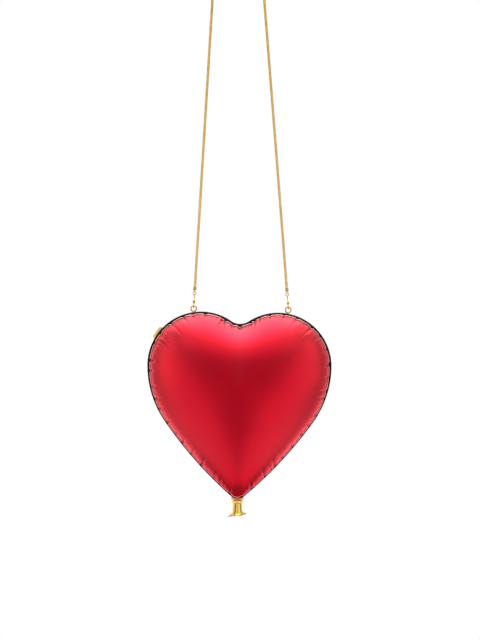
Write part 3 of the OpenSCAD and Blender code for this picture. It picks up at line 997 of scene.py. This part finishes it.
        # Painted shade along the groove at the foot of the pillow and in its wrinkles
        crease[groove - 1:groove + 2] = np.array([0.15, 0.45, 0.2])[:, None]
        crease[groove + 1:] = np.maximum(crease[groove + 1:], 0.6 * inside)
        edge[first:groove + 1] = 1.0
        away = np.linalg.norm(flat - self.outline.inset(self.s, self.start)[None], axis=-1)
        over_tip = (flat[..., 1] - flat[..., 1].min()) / self.tip_reach
        edge[groove + 1:] = np.exp(-away / self.edge_reach) * np.clip(over_tip, 0.05, 1)
        for label, values in (("seal", seal), ("crease", crease), ("edge", edge)):
            paint(mesh, label, values)
        piece(f"{name}_foil", mesh, finish, self.body, "foil", (f"{name}_shell",))

    def build_lining(self, finish: bpy.types.Material, thread: bpy.types.Material) -> None:
        """Makes the fabric-covered board inside the shell, with its row of stitches."""
        name = self.half.name.lower()
        out_flat, out_v = self.inner(self.wall + self.glue, self.rim_w + self.glue, 18)
        in_flat, in_v = self.inner(self.wall + self.lining_t, self.rim_w + self.lining_t, 18)
        place = self.outline.place
        hem = []
        for turn in np.linspace(0, np.pi, 7)[1:-1]:
            inset = self.rim_w + self.lining_t * (0.55 - 0.5 * math.cos(turn))
            drop = self.rim_t - 0.45 * MM * math.sin(turn)
            edge = self.outline.inset(self.s, inset)
            hem.append(place(edge, np.full_like(self.s, drop), self.half))
        seen = place(in_flat, in_v, self.half)
        rings = np.concatenate([place(out_flat[::-1], out_v[::-1], self.half), np.stack(hem), seen])
        crowns = (self.crown_at(self.wall + self.glue), self.crown_at(self.wall + self.lining_t))
        mesh = skin(f"{name}_lining_satin", rings[:, ::2], poles=crowns)
        piece(f"{name}_lining_satin", mesh, finish, self.body, "lining", (f"{name}_lining",))
        path = seen[2] + (seen[3] - seen[2]) * 0.2
        stitches = Repeat("lining_stitches", 2.9 * MM).along(path, True, stitch_mesh(), thread)
        piece(f"{name}_lining_stitches", stitches, thread, self.body, "gold_dark")


# ---- things repeated along a path ----


def stitch_mesh() -> bpy.types.Mesh:
    """One stitch of thread: a short bar with rounded ends, along z."""
    long, thick = 1.0 * MM, 0.2 * MM
    ends = np.array([-1.0, -0.8, 0.8, 1.0])
    radii = np.array([0.45, 1.0, 1.0, 0.45])
    a = np.linspace(0, 2 * np.pi, 6, endpoint=False)
    rings = np.stack([circle(thick * r, long * e, a) for e, r in zip(ends, radii)])
    return skin("stitch", rings, poles=(height_point(-1.05 * long), height_point(1.05 * long)))


@dataclass
class Repeat:
    """A Geometry Nodes tree that sets copies of a shape along a path."""

    name: str
    pitch: float
    alternate: float = 0.0

    def tree(self) -> tuple[bpy.types.NodeTree, dict]:
        """Builds the tree.

        Returns:
            The tree, and the identifiers of its inputs by name.
        """
        tree = bpy.data.node_groups.new(self.name, "GeometryNodeTree")
        tree.interface.new_socket("Geometry", in_out="INPUT", socket_type="NodeSocketGeometry")
        kinds = {"Shape": "Object", "Count": "Int", "Across": "Vector", "Alternate": "Float",
                 "Finish": "Material"}
        for name, kind in kinds.items():
            tree.interface.new_socket(name, in_out="INPUT", socket_type="NodeSocket" + kind)
        tree.interface.new_socket("Geometry", in_out="OUTPUT", socket_type="NodeSocketGeometry")
        g = Graph(tree)
        given = g.node("NodeGroupInput")
        curve = g.node("GeometryNodeMeshToCurve", None, {"Mesh": g.out(given, "Geometry")})
        spaced = g.node("GeometryNodeResampleCurve", None,
                        {"Curve": g.out(curve), "Count": g.out(given, "Count")})
        turn = g.node("FunctionNodeAxesToRotation", {"primary_axis": "Z", "secondary_axis": "Y"},
                      {0: g.out(g.node("GeometryNodeInputTangent")), 1: g.out(given, "Across")})
        shape = g.node("GeometryNodeObjectInfo", {"transform_space": "ORIGINAL"},
                       {"Object": g.out(given, "Shape"), "As Instance": True})
        copies = g.node("GeometryNodeInstanceOnPoints", None,
                        {"Points": g.out(spaced), "Instance": g.out(shape, "Geometry"),
                         "Rotation": g.out(turn)})
        odd = g.math("MODULO", g.out(g.node("GeometryNodeInputIndex")), 2.0)
        twist = g.node("ShaderNodeCombineXYZ", None, {"Z": odd * g.out(given, "Alternate")})
        turned = g.node("GeometryNodeRotateInstances", None,
                        {"Instances": g.out(copies), "Rotation": g.out(twist), "Local Space": True})
        real = g.node("GeometryNodeRealizeInstances", None, {"Geometry": g.out(turned)})
        dressed = g.node("GeometryNodeSetMaterial", None,
                         {"Geometry": g.out(real), "Material": g.out(given, "Finish")})
        g.node("NodeGroupOutput", None, {"Geometry": g.out(dressed)})
        items = tree.interface.items_tree
        return tree, {i.name: i.identifier for i in items if i.in_out == "INPUT"}

    def along(self, path: np.ndarray, closed: bool, shape: bpy.types.Mesh,
              finish: bpy.types.Material) -> bpy.types.Mesh:
        """Sets the copies and turns them into one plain mesh.

        Args:
            path: Points of the path.
            closed: Whether its end joins its start.
            shape: The repeated shape, drawn along z.
            finish: Its material.

        Returns:
            The mesh of all the copies.
        """
        ends = np.vstack([path, path[:1]]) if closed else path
        length = np.linalg.norm(np.diff(ends, axis=0), axis=1).sum()
        edges = [[i, i + 1] for i in range(len(path) - 1)]
        if closed:
            edges.append([len(path) - 1, 0])
        line = bpy.data.meshes.new(self.name + "_path")
        line.from_pydata(path.tolist(), edges, [])
        host = bpy.data.objects.new(self.name + "_host", line)
        source = bpy.data.objects.new(self.name + "_shape", shape)
        for obj in (host, source):
            bpy.context.scene.collection.objects.link(obj)
        tree, inputs = self.tree()
        modifier = host.modifiers.new("repeat", "NODES")
        modifier.node_group = tree
        values = {"Shape": source, "Count": round(length / self.pitch), "Across": (0.0, 1.0, 0.0),
                  "Alternate": self.alternate, "Finish": finish}
        for name, value in values.items():
            modifier[inputs[name]] = value
        host.update_tag()
        graph = bpy.context.evaluated_depsgraph_get()
        mesh = bpy.data.meshes.new_from_object(host.evaluated_get(graph))
        mesh.name = self.name
        host.modifiers.clear()
        for obj in (host, source):
            bpy.data.objects.remove(obj)
        mesh.shade_smooth()
        return mesh


# ---- rims ----


@dataclass
class Rim:
    """One metal rim of the seam, with its hinge and clasp recesses."""

    outline: HeartOutline
    half: Half
    body: str
    width: float = 6.5 * MM
    thick: float = 3 * MM
    seam: float = 0.15 * MM
    step_in: float = 0.8 * MM
    step_v: float = 2.2 * MM
    edge: float = 0.12 * MM
    hinge_dir: float = math.radians(-37)
    hinge_half: float = 20.3 * MM
    relief_half: float = 38 * MM
    relief: float = 2.05 * MM
    relief_in: float = 2.05 * MM
    station_gap: float = 0.03 * MM
    pocket: float = 1.75 * MM
    pocket_in: float = 3.5 * MM
    leaf_in: float = 6.3 * MM
    leaf_v: float = 0.97 * MM
    clasp_dir: float = math.radians(144)
    clasp_half: float = 6.3 * MM
    clasp_in: float = 0.9 * MM
    notch_half: float = 3.5 * MM
    notch_in: float = 5.7 * MM
    notch_v: tuple = (0.675 * MM, 2.525 * MM)

    def hinge_s(self) -> float:
        """Distance along the outline to the middle of the hinge."""
        tip, flank = self.outline.arcs[:2]
        return tip.length + (self.hinge_dir - flank.start) * flank.radius

    def clasp_s(self) -> float:
        """Distance along the outline to the middle of the clasp, on the left lobe."""
        before = sum(arc.length for arc in self.outline.arcs[:3])
        return self.outline.length - before - (math.pi - self.clasp_dir) * self.outline.lobe_r

    def stations(self) -> np.ndarray:
        """Distances along the outline, doubled up where a recess starts or ends."""
        s = list(np.arange(600) * self.outline.length / 600)
        zones = [(self.hinge_s(), self.hinge_half), (self.hinge_s(), self.relief_half),
                 (self.clasp_s(), self.clasp_half), (self.clasp_s(), self.notch_half)]
        for middle, half in zones:
            for end in (-half, half):
                s += [middle + end - self.station_gap, middle + end + self.station_gap]
        return np.unique(s)

    def section(self, hinge: float, clasp: float) -> list:
        """The rim's outline across the seam at one station.

        Args:
            hinge: Distance from the middle of the hinge.
            clasp: Distance from the middle of the clasp.

        Returns:
            Pairs of inset and height, round the section.
        """
        e, back = self.edge, self.half is Half.BACK
        near_pocket = abs(hinge) < self.hinge_half
        near_relief = back and abs(hinge) < self.relief_half
        rest = [(step * MM, self.seam) for step in (1, 2, 3, 4, 5)]
        floor = [(0, self.seam + e), (e, self.seam)] + rest
        if near_pocket:
            high = self.relief if back else self.pocket
            floor = [(0, high), (self.relief_in, high), (self.relief_in, self.pocket),
                     (self.pocket_in, self.pocket), (self.pocket_in, self.leaf_v),
                     (self.leaf_in, self.leaf_v), (self.leaf_in, self.seam)]
        elif near_relief:
            floor = [(0, self.relief), (self.relief_in - 0.01 * MM, self.relief),
                     (self.relief_in, self.seam + e), (self.relief_in + e, self.seam)] + rest[2:]
        deep = self.notch_in if back and abs(clasp) < self.notch_half else self.width
        inner = [(self.width - e, self.seam), (self.width, self.seam + e),
                 (self.width, self.notch_v[0]), (deep, self.notch_v[0] + 0.01 * MM),
                 (deep, self.notch_v[1] - 0.01 * MM), (self.width, self.notch_v[1]),
                 (self.width, self.thick - e), (self.width - e, self.thick)]
        low = self.clasp_in if back and abs(clasp) < self.clasp_half else 0.0
        step = max(self.step_in, low + 0.01 * MM)
        brow = low + 0.3 * e + 0.1 * MM * (low == 0)
        outer = [(step + e, self.thick), (step, self.thick - e), (step, self.step_v + e),
                 (max(step - e, low), self.step_v), (brow, self.step_v),
                 (low, self.step_v - 1.2 * e)]
        return [(max(i, low), v) for i, v in floor + inner + outer]

    def build(self, finish: bpy.types.Material) -> None:
        """Makes the rim and dresses it."""
        s = self.stations()
        off_hinge = self.outline.gap(s, self.hinge_s())
        off_clasp = self.outline.gap(s, self.clasp_s())
        sections = np.array([self.section(h, c) for h, c in zip(off_hinge, off_clasp)])
        points, normals = self.outline.at(s)
        flat = points[:, None] - normals[:, None] * sections[..., :1]
        rings = self.outline.place(flat, sections[..., 1], self.half)
        name = self.half.name.lower()
        mesh = skin(f"{name}_lacquered_rim", rings, closed_rows=True)
        piece(f"{name}_lacquered_rim", mesh, finish, self.body, "rim", (f"{name}_rim",), 38)


# ---- strap ----


@dataclass
class SnakeChain:
    """The strap: a snake chain of close-set wavy plates, held up by its middle."""

    diameter: float = 2.4 * MM
    depth_y: float = 1.2 * MM
    pitch: float = 0.95 * MM
    sides: int = 12
    wave: float = 0.16 * MM
    plate_half: float = 0.62
    section: tuple = ((0.55, -0.5), (0.93, -0.78), (1.0, 0.0), (0.93, 0.78), (0.55, 0.5))
    # Middle of the chain, left end to right end, as x and z in millimetres
    route: tuple = (
        (-41, -289), (-39, -246), (-37, -203), (-35, -160), (-33, -117), (-31, -74), (-29, -31),
        (-28, -17), (-25.5, -7.5), (-20, -1.5), (-12, 1.2), (-6, 1.4), (0, 1.2), (8, -1.5),
        (13.5, -7.5), (16.2, -17), (17.5, -31),
        (21.5, -74), (25.5, -117), (29.5, -160), (33.5, -203), (37.5, -246), (41.4, -289),
    )

    def line(self, steps: int = 24) -> np.ndarray:
        """The chain's middle, as close points on one smooth curve."""
        p = np.array(self.route, float) * MM
        p = np.vstack([2 * p[0] - p[1], p, 2 * p[-1] - p[-2]])
        points = []
        for a, b, c, d in zip(p[:-3], p[1:-2], p[2:-1], p[3:]):
            for t in np.arange(steps) / steps:
                points.append(0.5 * (2 * b + (c - a) * t + (2 * a - 5 * b + 4 * c - d) * t * t
                                     + (3 * b - a - 3 * c + d) * t ** 3))
        points.append(p[-2])
        flat = np.array(points)
        return np.stack([flat[:, 0], np.full(len(flat), self.depth_y), flat[:, 1]], -1)

    def plate(self) -> bpy.types.Mesh:
        """One plate: a thin rounded ring with a wavy edge, round z."""
        a = np.linspace(0, 2 * np.pi, self.sides, endpoint=False)
        r, half = self.diameter / 2, self.plate_half * self.pitch
        wave = self.wave * np.cos(2 * a)
        rings = np.stack([circle(out * r, 0.0, a) for out, _ in self.section])
        rings[..., 2] = [up * half + wave for _, up in self.section]
        poles = (height_point(-0.3 * half), height_point(0.3 * half))
        return skin("chain_plate", rings, poles=poles)

    def build(self, finish: bpy.types.Material, caps: list) -> bpy.types.Object:
        """Makes the chain.

        Args:
            finish: The chain's material.
            caps: The end caps that are on it; not used.

        Returns:
            The chain.
        """
        line = self.line()
        plates = Repeat("snake_chain", self.pitch, math.pi / 2)
        mesh = plates.along(line, False, self.plate(), finish)
        chain = piece("snake_chain", mesh, finish, "strap", "chain", ("chain_strap",))
        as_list(caps)
        return chain


@dataclass
class StrapEnd:
    """The fittings at one end of the strap, from the eyelet on the rim up to the end cap."""

    side: Side
    finishes: Finishes
    edge: float = 0.1 * MM

    def build(self) -> bpy.types.Object:
        """Makes the fittings.

        Returns:
            The end cap, which is on the strap.
        """
        s, f = self.side.value, self.finishes
        rows = [
            ("eyelet", "eyelet_ring", f.gold_dark, "back_half", "gold"),
            ("lobster", "lobster_hook", f.gold_dark, f"{s}_clip", "gold"),
            ("gate", "gate_lever", f.gold, f"{s}_lever", "gold"),
            ("gate_pin", "gate_rivet", f.gold_dark, f"{s}_clip", "gold_dark"),
            ("gate_spring", "gate_leaf_spring", f.steel, f"{s}_clip", "steel"),
            ("swivel", "swivel_post", f.gold_dark, "strap", "gold"),
            ("jump_ring", "split_ring", f.gold_dark, "strap", "gold"),
            ("end_cap", "chain_cap", f.chain, "strap", "gold"),
        ]
        made = None
        for node, name, finish, body, slot in rows:
            mesh = softened(f"{s}_{node}", self.edge)
            made = piece(f"{s}_{name}", mesh, finish, body, slot, (f"{s}_{node}",), 40)
        return made


# ---- hinge and clasp ----


@dataclass
class Hardware:
    """The hinge, the clasp and the screws that hold the knot."""

    finishes: Finishes
    travel: float = 1 * MM

    def build(self) -> None:
        """Makes each machined piece with broken edges."""
        f = self.finishes
        rows = [
            ("front_hinge_leaf", f.gold_dark, "lid", "gold_dark", 0.08),
            ("back_hinge_leaf", f.gold_dark, "back_half", "gold_dark", 0.08),
            ("hinge_pin", f.steel, "back_half", "steel", 0.06),
            ("front_leaf_screws", f.steel, "lid", "steel", 0.06),
            ("back_leaf_screws", f.steel, "back_half", "steel", 0.06),
            ("clasp_bezel", f.gold, "back_half", "gold_dark", 0.14),
            ("clasp_button", f.gold, "button", "gold", 0.22),
            ("button_clip", f.steel, "button", "steel", 0.04),
            ("button_spring", f.steel, "back_half", "steel", 0.0),
            ("catch_spring", f.steel, "lid", "steel", 0.08),
            ("catch_rivets", f.gold, "lid", "gold", 0.1),
            ("knot_screw", f.steel, "back_half", "steel", 0.1),
        ]
        made = {}
        for node, finish, body, slot, edge in rows:
            mesh = softened(node, edge * MM)
            made[node] = piece(f"{node}_made", mesh, finish, body, slot, (node,), 40)
        self.press_spring(made["button_spring"])

    def press_spring(self, spring: bpy.types.Object) -> None:
        """Gives the coil spring a mesh of its own.

        Args:
            spring: The spring, whose inner end stands on its seat.
        """
        press = next(j for j in frame["joints"] if j["name"] == "clasp_press")
        axis = np.array(press["axis"])
        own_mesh(spring)


# ---- knot ----


@dataclass
class Knot:
    """The cast gold knot under the tip: collar, bound ring, gathered neck and flared skirt."""

    outline: HeartOutline
    y: float = 1.6 * MM
    ring_top: float = 1.4 * MM
    ring_h: float = 3.1 * MM
    ring_r: float = 5.2 * MM
    neck_r: float = 4.1 * MM
    skirt_w: float = 17.2 * MM
    skirt_d: float = 11.6 * MM
    height: float = 16.0 * MM
    slope: float = 0.17
    grooves: tuple = (-2.08, -0.71, 0.5, 1.6, 2.7)
    around: int = 224
    groove_width: float = 0.15
    collar_edge: float = 0.28 * MM
    ring_round: float = 1.5 * MM
    core_r: float = 2.0 * MM
    core_drop: float = 1.2 * MM
    mouth_spare: float = 1.2 * MM
    lip: float = 0.35 * MM
    wall: float = 0.7 * MM

    def radii(self, share: float, angle: np.ndarray) -> tuple[np.ndarray, np.ndarray]:
        """The tail's reach in x and y.

        Args:
            share: Share of the way from the ring to the mouth.
            angle: Directions round the tail.

        Returns:
            Distances from the tail's middle along x and y.
        """
        flare = 0.12 * share + 0.88 * max(0.0, (share - 0.45) / 0.55) ** 3.2
        fold = 1 - (0.32 - 0.2 * share) * self.creased(angle)
        wide, deep = (self.neck_r + (size / 2 - self.neck_r) * flare
                      for size in (self.skirt_w, self.skirt_d))
        return wide * fold * np.cos(angle), deep * fold * np.sin(angle)

    def creased(self, angle: np.ndarray) -> np.ndarray:
        """How deep in a groove of the neck each direction is, from 0 to 1."""
        deep = np.zeros_like(angle)
        for middle in self.grooves:
            off = np.mod(angle - middle + np.pi, 2 * np.pi) - np.pi
            deep = np.maximum(deep, np.exp(-((off / self.groove_width) ** 2)))
        return deep

    def row(self, share: float, angle: np.ndarray, shrink: float) -> np.ndarray:
        """One ring of the tail.

        Args:
            share: Share of the way from the ring to the mouth.
            angle: Directions round the tail.
            shrink: How far it lies inside the outer skin.

        Returns:
            The ring's points.
        """
        x, y = self.radii(share, angle)
        reach = np.hypot(x, y)
        x, y = x * (1 - shrink / reach), y * (1 - shrink / reach)
        top = self.outline.tip_up - self.ring_top - self.ring_h
        tall = self.height - self.ring_top - self.ring_h - self.mouth_spare
        ripple = 0.3 * MM * np.cos(3 * angle + 0.4) * share ** 4
        z = top - tall * share + self.slope * x * share ** 2
        return np.stack([x, self.y + y, self.outline.level + z + ripple], -1)

    def build(self, finish: bpy.types.Material, tail: bpy.types.Material) -> None:
        """Makes the collar and the tail."""
        mesh = softened("knot_collar", self.collar_edge, 3)
        piece("knot_collar_band", mesh, finish, "back_half", "gold", ("knot_collar",), 50)
        a = np.linspace(0, 2 * np.pi, self.around, endpoint=False)
        tip = self.outline.level + self.outline.tip_up
        middle = self.ring_top + self.ring_h / 2
        bands = [(self.core_r, self.core_drop), (self.core_r, self.ring_top)]
        for t in np.radians(np.linspace(-80, 80, 13)):
            bands.append((self.ring_r - self.ring_round + self.ring_round * math.cos(t) ** 0.8,
                          middle + self.ring_h / 2 * math.sin(t)))
        rings = [circle(r, tip - drop, a, self.y) for r, drop in bands]
        shade = [np.zeros_like(a)] * len(bands)
        shares = [0.0, 0.02, 0.05, *np.linspace(0.09, 1.0, 34)]
        rings += [self.row(float(x), a, 0.0) for x in shares]
        # Painted shade: darker in the neck's grooves, on the skirt towards the mouth and all over
        # the skirt's inside
        deep = self.creased(a)
        for x in shares:
            mouth = 0.75 * max(0.0, (x - 0.72) / 0.28)
            shade.append(np.maximum(deep * min(1.0, x * 8), mouth))
        for t in np.radians([35, 70, 110, 145]):
            lip = self.row(1.0, a, self.lip * (1 - math.cos(t)))
            lip[:, 2] -= self.lip * math.sin(t)
            rings.append(lip)
        rings += [self.row(float(x), a, self.wall) for x in np.linspace(1.0, 0.45, 14)]
        poles = (rings[0].mean(0), rings[-1].mean(0))
        mesh = skin("knot_gathered_tail", np.stack(rings), poles=poles)
        shade += [np.ones_like(a)] * (len(rings) - len(shade))
        paint(mesh, "shade", np.concatenate(shade), (0.0, 1.0))
        piece("knot_gathered_tail", mesh, tail, "back_half", "gold", ("knot_tail",), 55)


# ---- studio ----


@dataclass
class Studio:
    """Camera, light and floor."""

    distance: float = 1.8
    view_height: float = 0.574
    view_top: float = -0.0312
    roll: float = math.radians(0.84)
    sensor: float = 36.0
    floor_z: float = -1.25
    floor_r: float = 0.45
    floor_t: float = 0.01

    def camera(self) -> None:
        """Puts the camera level with the middle of the view."""
        data = bpy.data.cameras.new("camera")
        data.sensor_width = self.sensor
        data.lens = self.sensor * self.distance / self.view_height
        data.clip_start, data.clip_end = 0.05, 50
        cam = bpy.data.objects.new("camera", data)
        bpy.context.scene.collection.objects.link(cam)
        middle = self.view_top - self.view_height / 2
        turn = Matrix.Rotation(math.pi / 2, 4, "X") @ Matrix.Rotation(self.roll, 4, "Z")
        cam.matrix_world = Matrix.Translation((-0.0001, -self.distance, middle)) @ turn
        bpy.context.scene.camera = cam
        bpy.context.scene.view_settings.view_transform = "Standard"

    def surroundings(self) -> None:
        """Lights the bag from a surround graded by direction; the camera sees plain white."""
        world = bpy.data.worlds.new("studio")
        bpy.context.scene.world = world
        world.use_nodes = True
        g = Graph(world.node_tree)
        g.tree.nodes.clear()
        ray = g.out(g.node("ShaderNodeTexCoord"), "Generated")
        way = g.node("ShaderNodeSeparateXYZ", None, {0: ray})
        x, y, z = (g.out(way, axis) for axis in "XYZ")
        across = g.math("ABSOLUTE", x)
        # Two broad panels, lower than the lobes, that fade towards the back
        facing = 1.0 - 0.45 * (y + 0.4).smooth(0.0, 0.5)
        right = (0.8 * x - 0.35 * z).smooth(0.18, 0.37) * (1.0 - 0.7 * x.smooth(0.62, 0.92))
        left = (-0.8 * x - 0.35 * z).smooth(0.16, 0.42) * (1.0 - 0.5 * (-1.0 * x).smooth(0.7, 0.98))
        sides = g.math("MAXIMUM", right, 0.88 * left) * facing
        # Dark towards the floor, bright overhead
        under = (-1.0 * z).smooth(0.62, 0.88) * (y + 0.35).smooth(0.0, 0.4)
        top = (z - 0.16 * across).smooth(0.64, 0.9)
        # From behind: along the top edge, and along the two flanks
        rim_light = ((y + 0.8 * z).smooth(0.15, 0.8) * (1.0 - 0.6 * y.smooth(0.6, 0.95))
                     * (1.0 - 0.5 * x.smooth(0.25, 0.75)))
        low_edge = y.smooth(-0.1, 0.5) * (-1.0 * z).smooth(0.1, 0.4) * across.smooth(0.2, 0.5)
        light = ((0.63 + 0.62 * sides) * (1.0 - 0.85 * under)
                 + 4.4 * top + 0.8 * rim_light + 0.7 * low_edge)
        studio = g.node("ShaderNodeBackground", None, {"Color": (1, 1, 1, 1), "Strength": light})
        white = g.node("ShaderNodeBackground", None, {"Color": (1, 1, 1, 1), "Strength": 1.0})
        seen = g.out(g.node("ShaderNodeLightPath"), "Is Camera Ray")
        mixed = g.node("ShaderNodeMixShader", None, {0: seen, 1: g.out(studio), 2: g.out(white)})
        g.node("ShaderNodeOutputWorld", None, {"Surface": g.out(mixed)})

    def lamp(self, name: str, place: tuple, target: tuple, size: tuple, power: float) -> None:
        """Adds a soft rectangular light.

        Args:
            name: Name of the light.
            place: Where it stands.
            target: What it faces.
            size: Its width and height.
            power: Its power in watts.
        """
        data = bpy.data.lights.new(name, "AREA")
        data.shape, data.size, data.size_y, data.energy = "RECTANGLE", size[0], size[1], power
        lamp = bpy.data.objects.new(name, data)
        bpy.context.scene.collection.objects.link(lamp)
        lamp.location = place
        lamp.rotation_mode = "QUATERNION"
        lamp.rotation_quaternion = (Vector(target) - Vector(place)).to_track_quat("-Z", "Y")

    def lights(self) -> None:
        """Soft boxes overhead and to both sides."""
        heart = (0.0, 0.0, -0.39)
        self.lamp("overhead", (0.0, -1.1, 0.75), heart, (1.8, 1.0), 4)
        self.lamp("left_side", (-1.5, -0.9, 0.0), heart, (0.8, 1.4), 1.3)
        self.lamp("right_side", (1.5, -0.9, 0.0), heart, (0.8, 1.4), 1.3)

    def floor(self, finish: bpy.types.Material) -> None:
        """A round grey floor under the bag."""
        a = np.linspace(0, 2 * np.pi, 96, endpoint=False)
        faces = (self.floor_z - self.floor_t, self.floor_z)
        rings = np.stack([circle(self.floor_r, z, a) for z in faces])
        mesh = skin("floor", rings, poles=tuple(height_point(z) for z in faces))
        mesh.materials.append(finish)
        floor = bpy.data.objects.new("floor", mesh)
        bpy.context.scene.collection.objects.link(floor)


# Long wrinkles: share of the outline from the tip, anticlockwise, then length and depth in
# millimetres, and slant
CLEFT_CREASES = tuple((0.5 + (i - 2.5) * 0.0051, 9.0 + 1.5 * (i % 2), 0.2, 0.0) for i in range(6))
FRONT_CREASES = CLEFT_CREASES + (
    (0.531, 15.0, 0.5, -0.55), (0.658, 16.0, 0.36, 0.05), (0.666, 20.0, 0.5, 0.0),
    (0.338, 9.0, 0.18, 0.3), (0.56, 7.0, 0.15, 0.2), (0.735, 8.0, 0.14, 0.1),
    (0.262, 8.0, 0.14, -0.1),
)
BACK_CREASES = CLEFT_CREASES + (
    (0.42, 13.0, 0.28, 0.4), (0.61, 14.0, 0.24, 0.1), (0.30, 12.0, 0.2, -0.2))


def main() -> None:
    """Builds the studio and the bag."""
    logging.basicConfig(level=logging.INFO, format="%(name)s %(message)s")
    finishes = Finishes()
    studio = Studio()
    studio.camera()
    caps = [StrapEnd(side, finishes).build() for side in Side]
    SnakeChain().build(finishes.chain, caps)
    outline = HeartOutline()
    halves = ((Half.FRONT, "lid", FRONT_CREASES), (Half.BACK, "back_half", BACK_CREASES))
    for half, body, creases in halves:
        shell = FoilHalf(outline, half, body, long_ones=creases)
        shell.build_skin(finishes.foil)
        shell.build_lining(finishes.lining, finishes.thread)
        Rim(outline, half, body).build(finishes.rim)
    Knot(outline).build(finishes.gold, finishes.gold_shaded)
    Hardware(finishes).build()
    studio.surroundings()
    studio.lights()
    studio.floor(finishes.floor)


if __name__ == "__main__":
    main()
